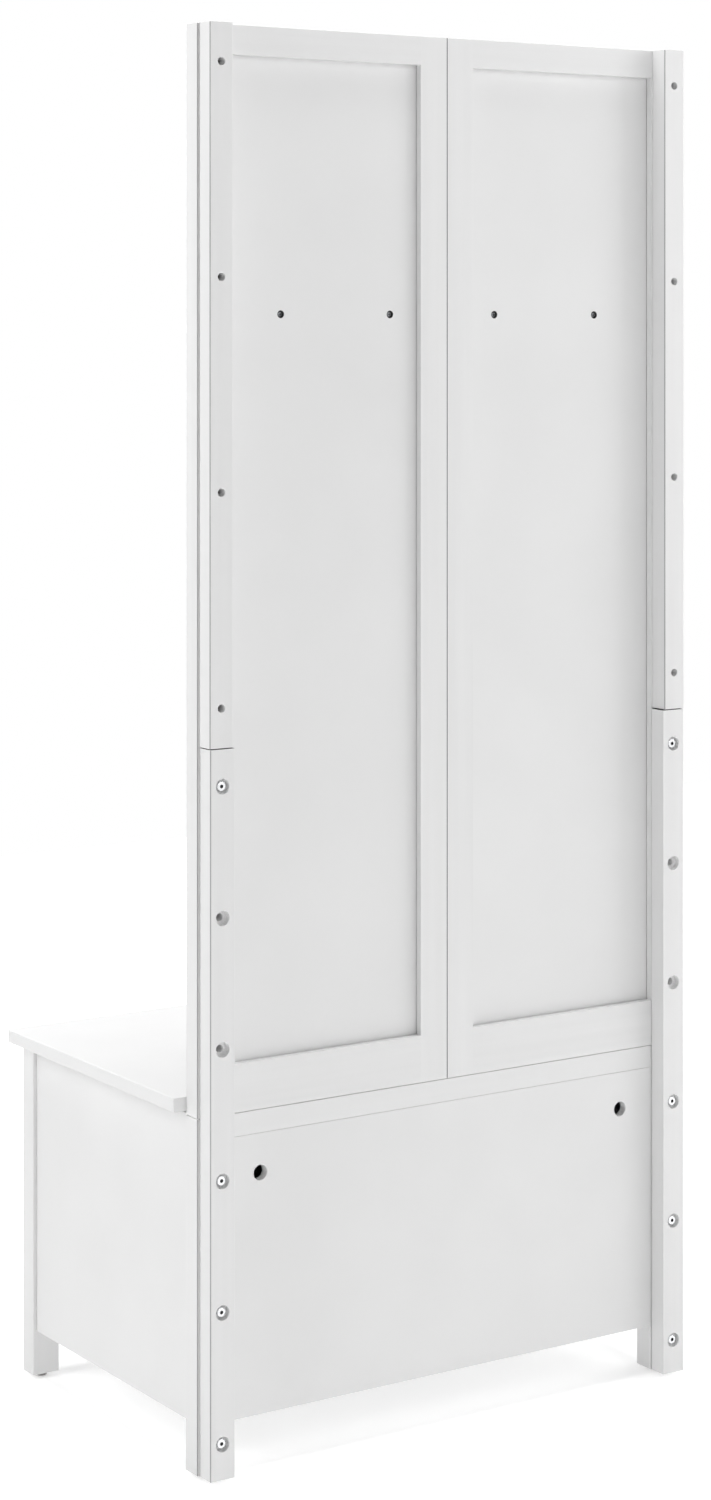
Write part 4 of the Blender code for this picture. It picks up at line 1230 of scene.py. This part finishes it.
@dataclass
class Hinges:
    """Two butt hinges between the seat's rear edge and the back."""

    finishes: Finishes
    leaf_height: float = 0.013
    leaf_thickness: float = 0.0012
    knuckle: float = 0.003
    pin: float = 0.0013
    pin_foot: Pair = (0.0013, 0.0015)  # where it tapers, from its end
    pin_head: float = 0.001

    def build(self) -> None:
        """Build and dress both hinges."""
        for side in Side:
            self.add_leaf(side.node("hinge_frame_leaf"), Body.CARCASS)
            self.add_leaf(side.node("hinge_seat_leaf"), Body.SEAT)
            self.add_pin(side.node("hinge_pin"))

    def add_leaf(self, node: str, body: Body) -> None:
        """A leaf with its share of the knuckles."""
        low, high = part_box(node)
        axis = middle_of(node.replace("frame_leaf", "pin").replace("seat_leaf", "pin"))
        half, third = (high.x - low.x) / 2, (high.x - low.x) / 6
        middle = (low.x + high.x) / 2
        top = low.z + self.leaf_height
        if body is Body.CARCASS:
            y = (high.y - self.leaf_thickness, high.y)
            spans = ((-half, -third - TOUCH), (third + TOUCH, half))
        else:
            y = (axis.y + TOUCH, axis.y + TOUCH + self.leaf_thickness)
            spans = ((-third, third),)
        leaf = add_block(finished(node), (low.x, y[0], low.z), (high.x, y[1], top), self.finishes.hinge)
        ease_edges(leaf, self.leaf_thickness * 0.2, 2)
        for start, end in spans:
            tab = add_block("tab", (middle + start, y[0], top - self.leaf_thickness),
                            (middle + end, y[1], axis.z - self.knuckle * 0.5), self.finishes.hinge)
            apply_tool(leaf, tab, "UNION")
            edge = self.knuckle * 0.08
            roll = turn("roll", [
                (self.knuckle - edge, start), (self.knuckle, start + edge),
                (self.knuckle, end - edge), (self.knuckle - edge, end)], self.finishes.hinge, 32)
            apply_tool(leaf, put(roll, (middle, axis.y, axis.z), SIDEWAYS), "UNION")
        shade(leaf)
        enter(leaf, node, slot=Slot.HINGE_STEEL, body=body)

    def add_pin(self, node: str) -> None:
        """The pin's heads, which show at the ends of the knuckles."""
        low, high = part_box(node)
        radius, end = (high.z - low.z) / 2, (high.x - low.x) / 2
        tip, taper, head = self.pin_foot[0] - end, self.pin_foot[1] - end, self.pin_head
        pin = turn(finished(node), [
            (self.pin * 0.8, tip), (self.pin, taper), (self.pin, end - head), (radius, end - head),
            (radius * 0.95, end - head * 0.4), (radius * 0.7, end)], self.finishes.hinge, 32)
        shade(pin)
        put(pin, middle_of(node), SIDEWAYS)
        enter(pin, node, slot=Slot.HINGE_STEEL)


# ---- Studio ----
def set_up(name: str, data: bpy.types.ID, place: Triple, turned: Sequence[float]) -> Piece:
    """Put a light or a camera in its place in the studio."""
    thing = bpy.data.objects.new(name, data)
    bpy.context.scene.collection.objects.link(thing)
    thing.location = place
    thing.rotation_euler = turned
    return thing


@dataclass(frozen=True)
class Softbox:
    """A plain soft light that looks at the middle of the piece."""

    name: str
    place: Triple
    watts: float
    size: Pair = (1.6, 2.2)
    target: Triple = (0.0, 0.0, 0.95)

    def build(self) -> None:
        """Set the light up."""
        light = bpy.data.lights.new(self.name, "AREA")
        light.shape = "RECTANGLE"
        light.size, light.size_y = self.size
        light.energy = self.watts
        heading = Vector(self.target) - Vector(self.place)
        turned = heading.to_track_quat("-Z", "Y").to_euler()
        set_up(self.name, light, self.place, turned).visible_camera = False


@dataclass
class Studio:
    """A pale floor, soft light from all round, and the camera behind the piece."""

    floor_half: float = 4.0
    dome: float = 0.02  # the dome's light; it looks plain white all the same
    camera_place: Triple = (2.34493, 3.57754, 1.45426)
    camera_turn: float = 146.69  # degrees about Z from facing +Y
    lens: float = 73.93
    sensor: float = 36.0
    shift_y: float = -0.2829
    softboxes: tuple[Softbox, ...] = (
        Softbox("overhead_box", (0.01, 0.0, 4.2), 84.0),
        Softbox("right_box", (3.20, 0.0, 2.8), 44.0),
        Softbox("left_rear_box", (-2.77, 1.60, 2.2), 38.0),
        Softbox("rear_box", (0.0, 4.20, 3.0), 27.0),
        Softbox("right_front_box", (2.90, -0.78, 2.4), 21.0),
        Softbox("rear_left_box", (-1.80, 3.12, 2.8), 18.0),
        Softbox("left_box", (-2.80, 0.0, 1.4), 16.0),
        Softbox("camera_side_box", (2.30, 3.98, 3.4), 14.0),
        Softbox("front_box", (0.0, -3.60, 1.8), 40.0),
    )

    def build(self) -> None:
        """Set up the floor, the light and the camera."""
        self.add_floor()
        self.add_dome()
        for softbox in self.softboxes:
            softbox.build()
        self.add_camera()
        bpy.context.scene.view_settings.view_transform = "Standard"

    def add_floor(self) -> None:
        """The floor, a wide sheet of paper."""
        pick()
        bpy.ops.mesh.primitive_plane_add(size=2 * self.floor_half)
        floor = named("studio_floor", SeamlessPaper().make())
        settle(floor)

    def add_dome(self) -> None:
        """A faint dome, plain white where the camera or a glossy surface sees it."""
        world = bpy.data.worlds.new("studio_dome")
        bpy.context.scene.world = world
        world.use_nodes = True
        tree = world.node_tree
        tree.nodes.clear()
        ray = add_node(tree, "ShaderNodeLightPath")
        dome = add_node(tree, "ShaderNodeBackground", {"Color": (1, 1, 1, 1), "Strength": self.dome})
        seen = add_node(tree, "ShaderNodeBackground", {"Color": (1, 1, 1, 1), "Strength": 1.0})
        plain = add_node(tree, "ShaderNodeMath", {"operation": "MAXIMUM"},
                         {0: ray.outputs["Is Camera Ray"], 1: ray.outputs["Is Glossy Ray"]})
        both = add_node(tree, "ShaderNodeMixShader",
                        links={0: plain.outputs["Value"], 1: dome.outputs["Background"],
                               2: seen.outputs["Background"]})
        add_node(tree, "ShaderNodeOutputWorld", links={"Surface": both.outputs["Shader"]})

    def add_camera(self) -> None:
        """The camera, level, with its frame shifted down to take in the feet."""
        data = bpy.data.cameras.new("studio_camera")
        data.lens = self.lens
        data.sensor_width = self.sensor
        data.shift_y = self.shift_y
        turned = (math.pi / 2, 0.0, math.radians(self.camera_turn))
        bpy.context.scene.camera = set_up("studio_camera", data, self.camera_place, turned)


def main() -> None:
    """Build every sub-assembly in order."""
    logging.basicConfig(level=logging.INFO, format="%(message)s")
    finishes = Finishes()
    parts = [
        BackFrame(Side.RIGHT, finishes, (3, 4)),
        BackFrame(Side.LEFT, finishes, (1, 2)),
        Battens(Side.RIGHT, finishes),
        Battens(Side.LEFT, finishes),
        CoatHooks(finishes),
        Bench(finishes),
        Glides(finishes),
        Seat(finishes),
        Hinges(finishes),
        Studio(),
    ]
    for part in parts:
        LOG.info("building %s", type(part).__name__)
        part.build()
    pick()


if __name__ == "__main__":
    main()
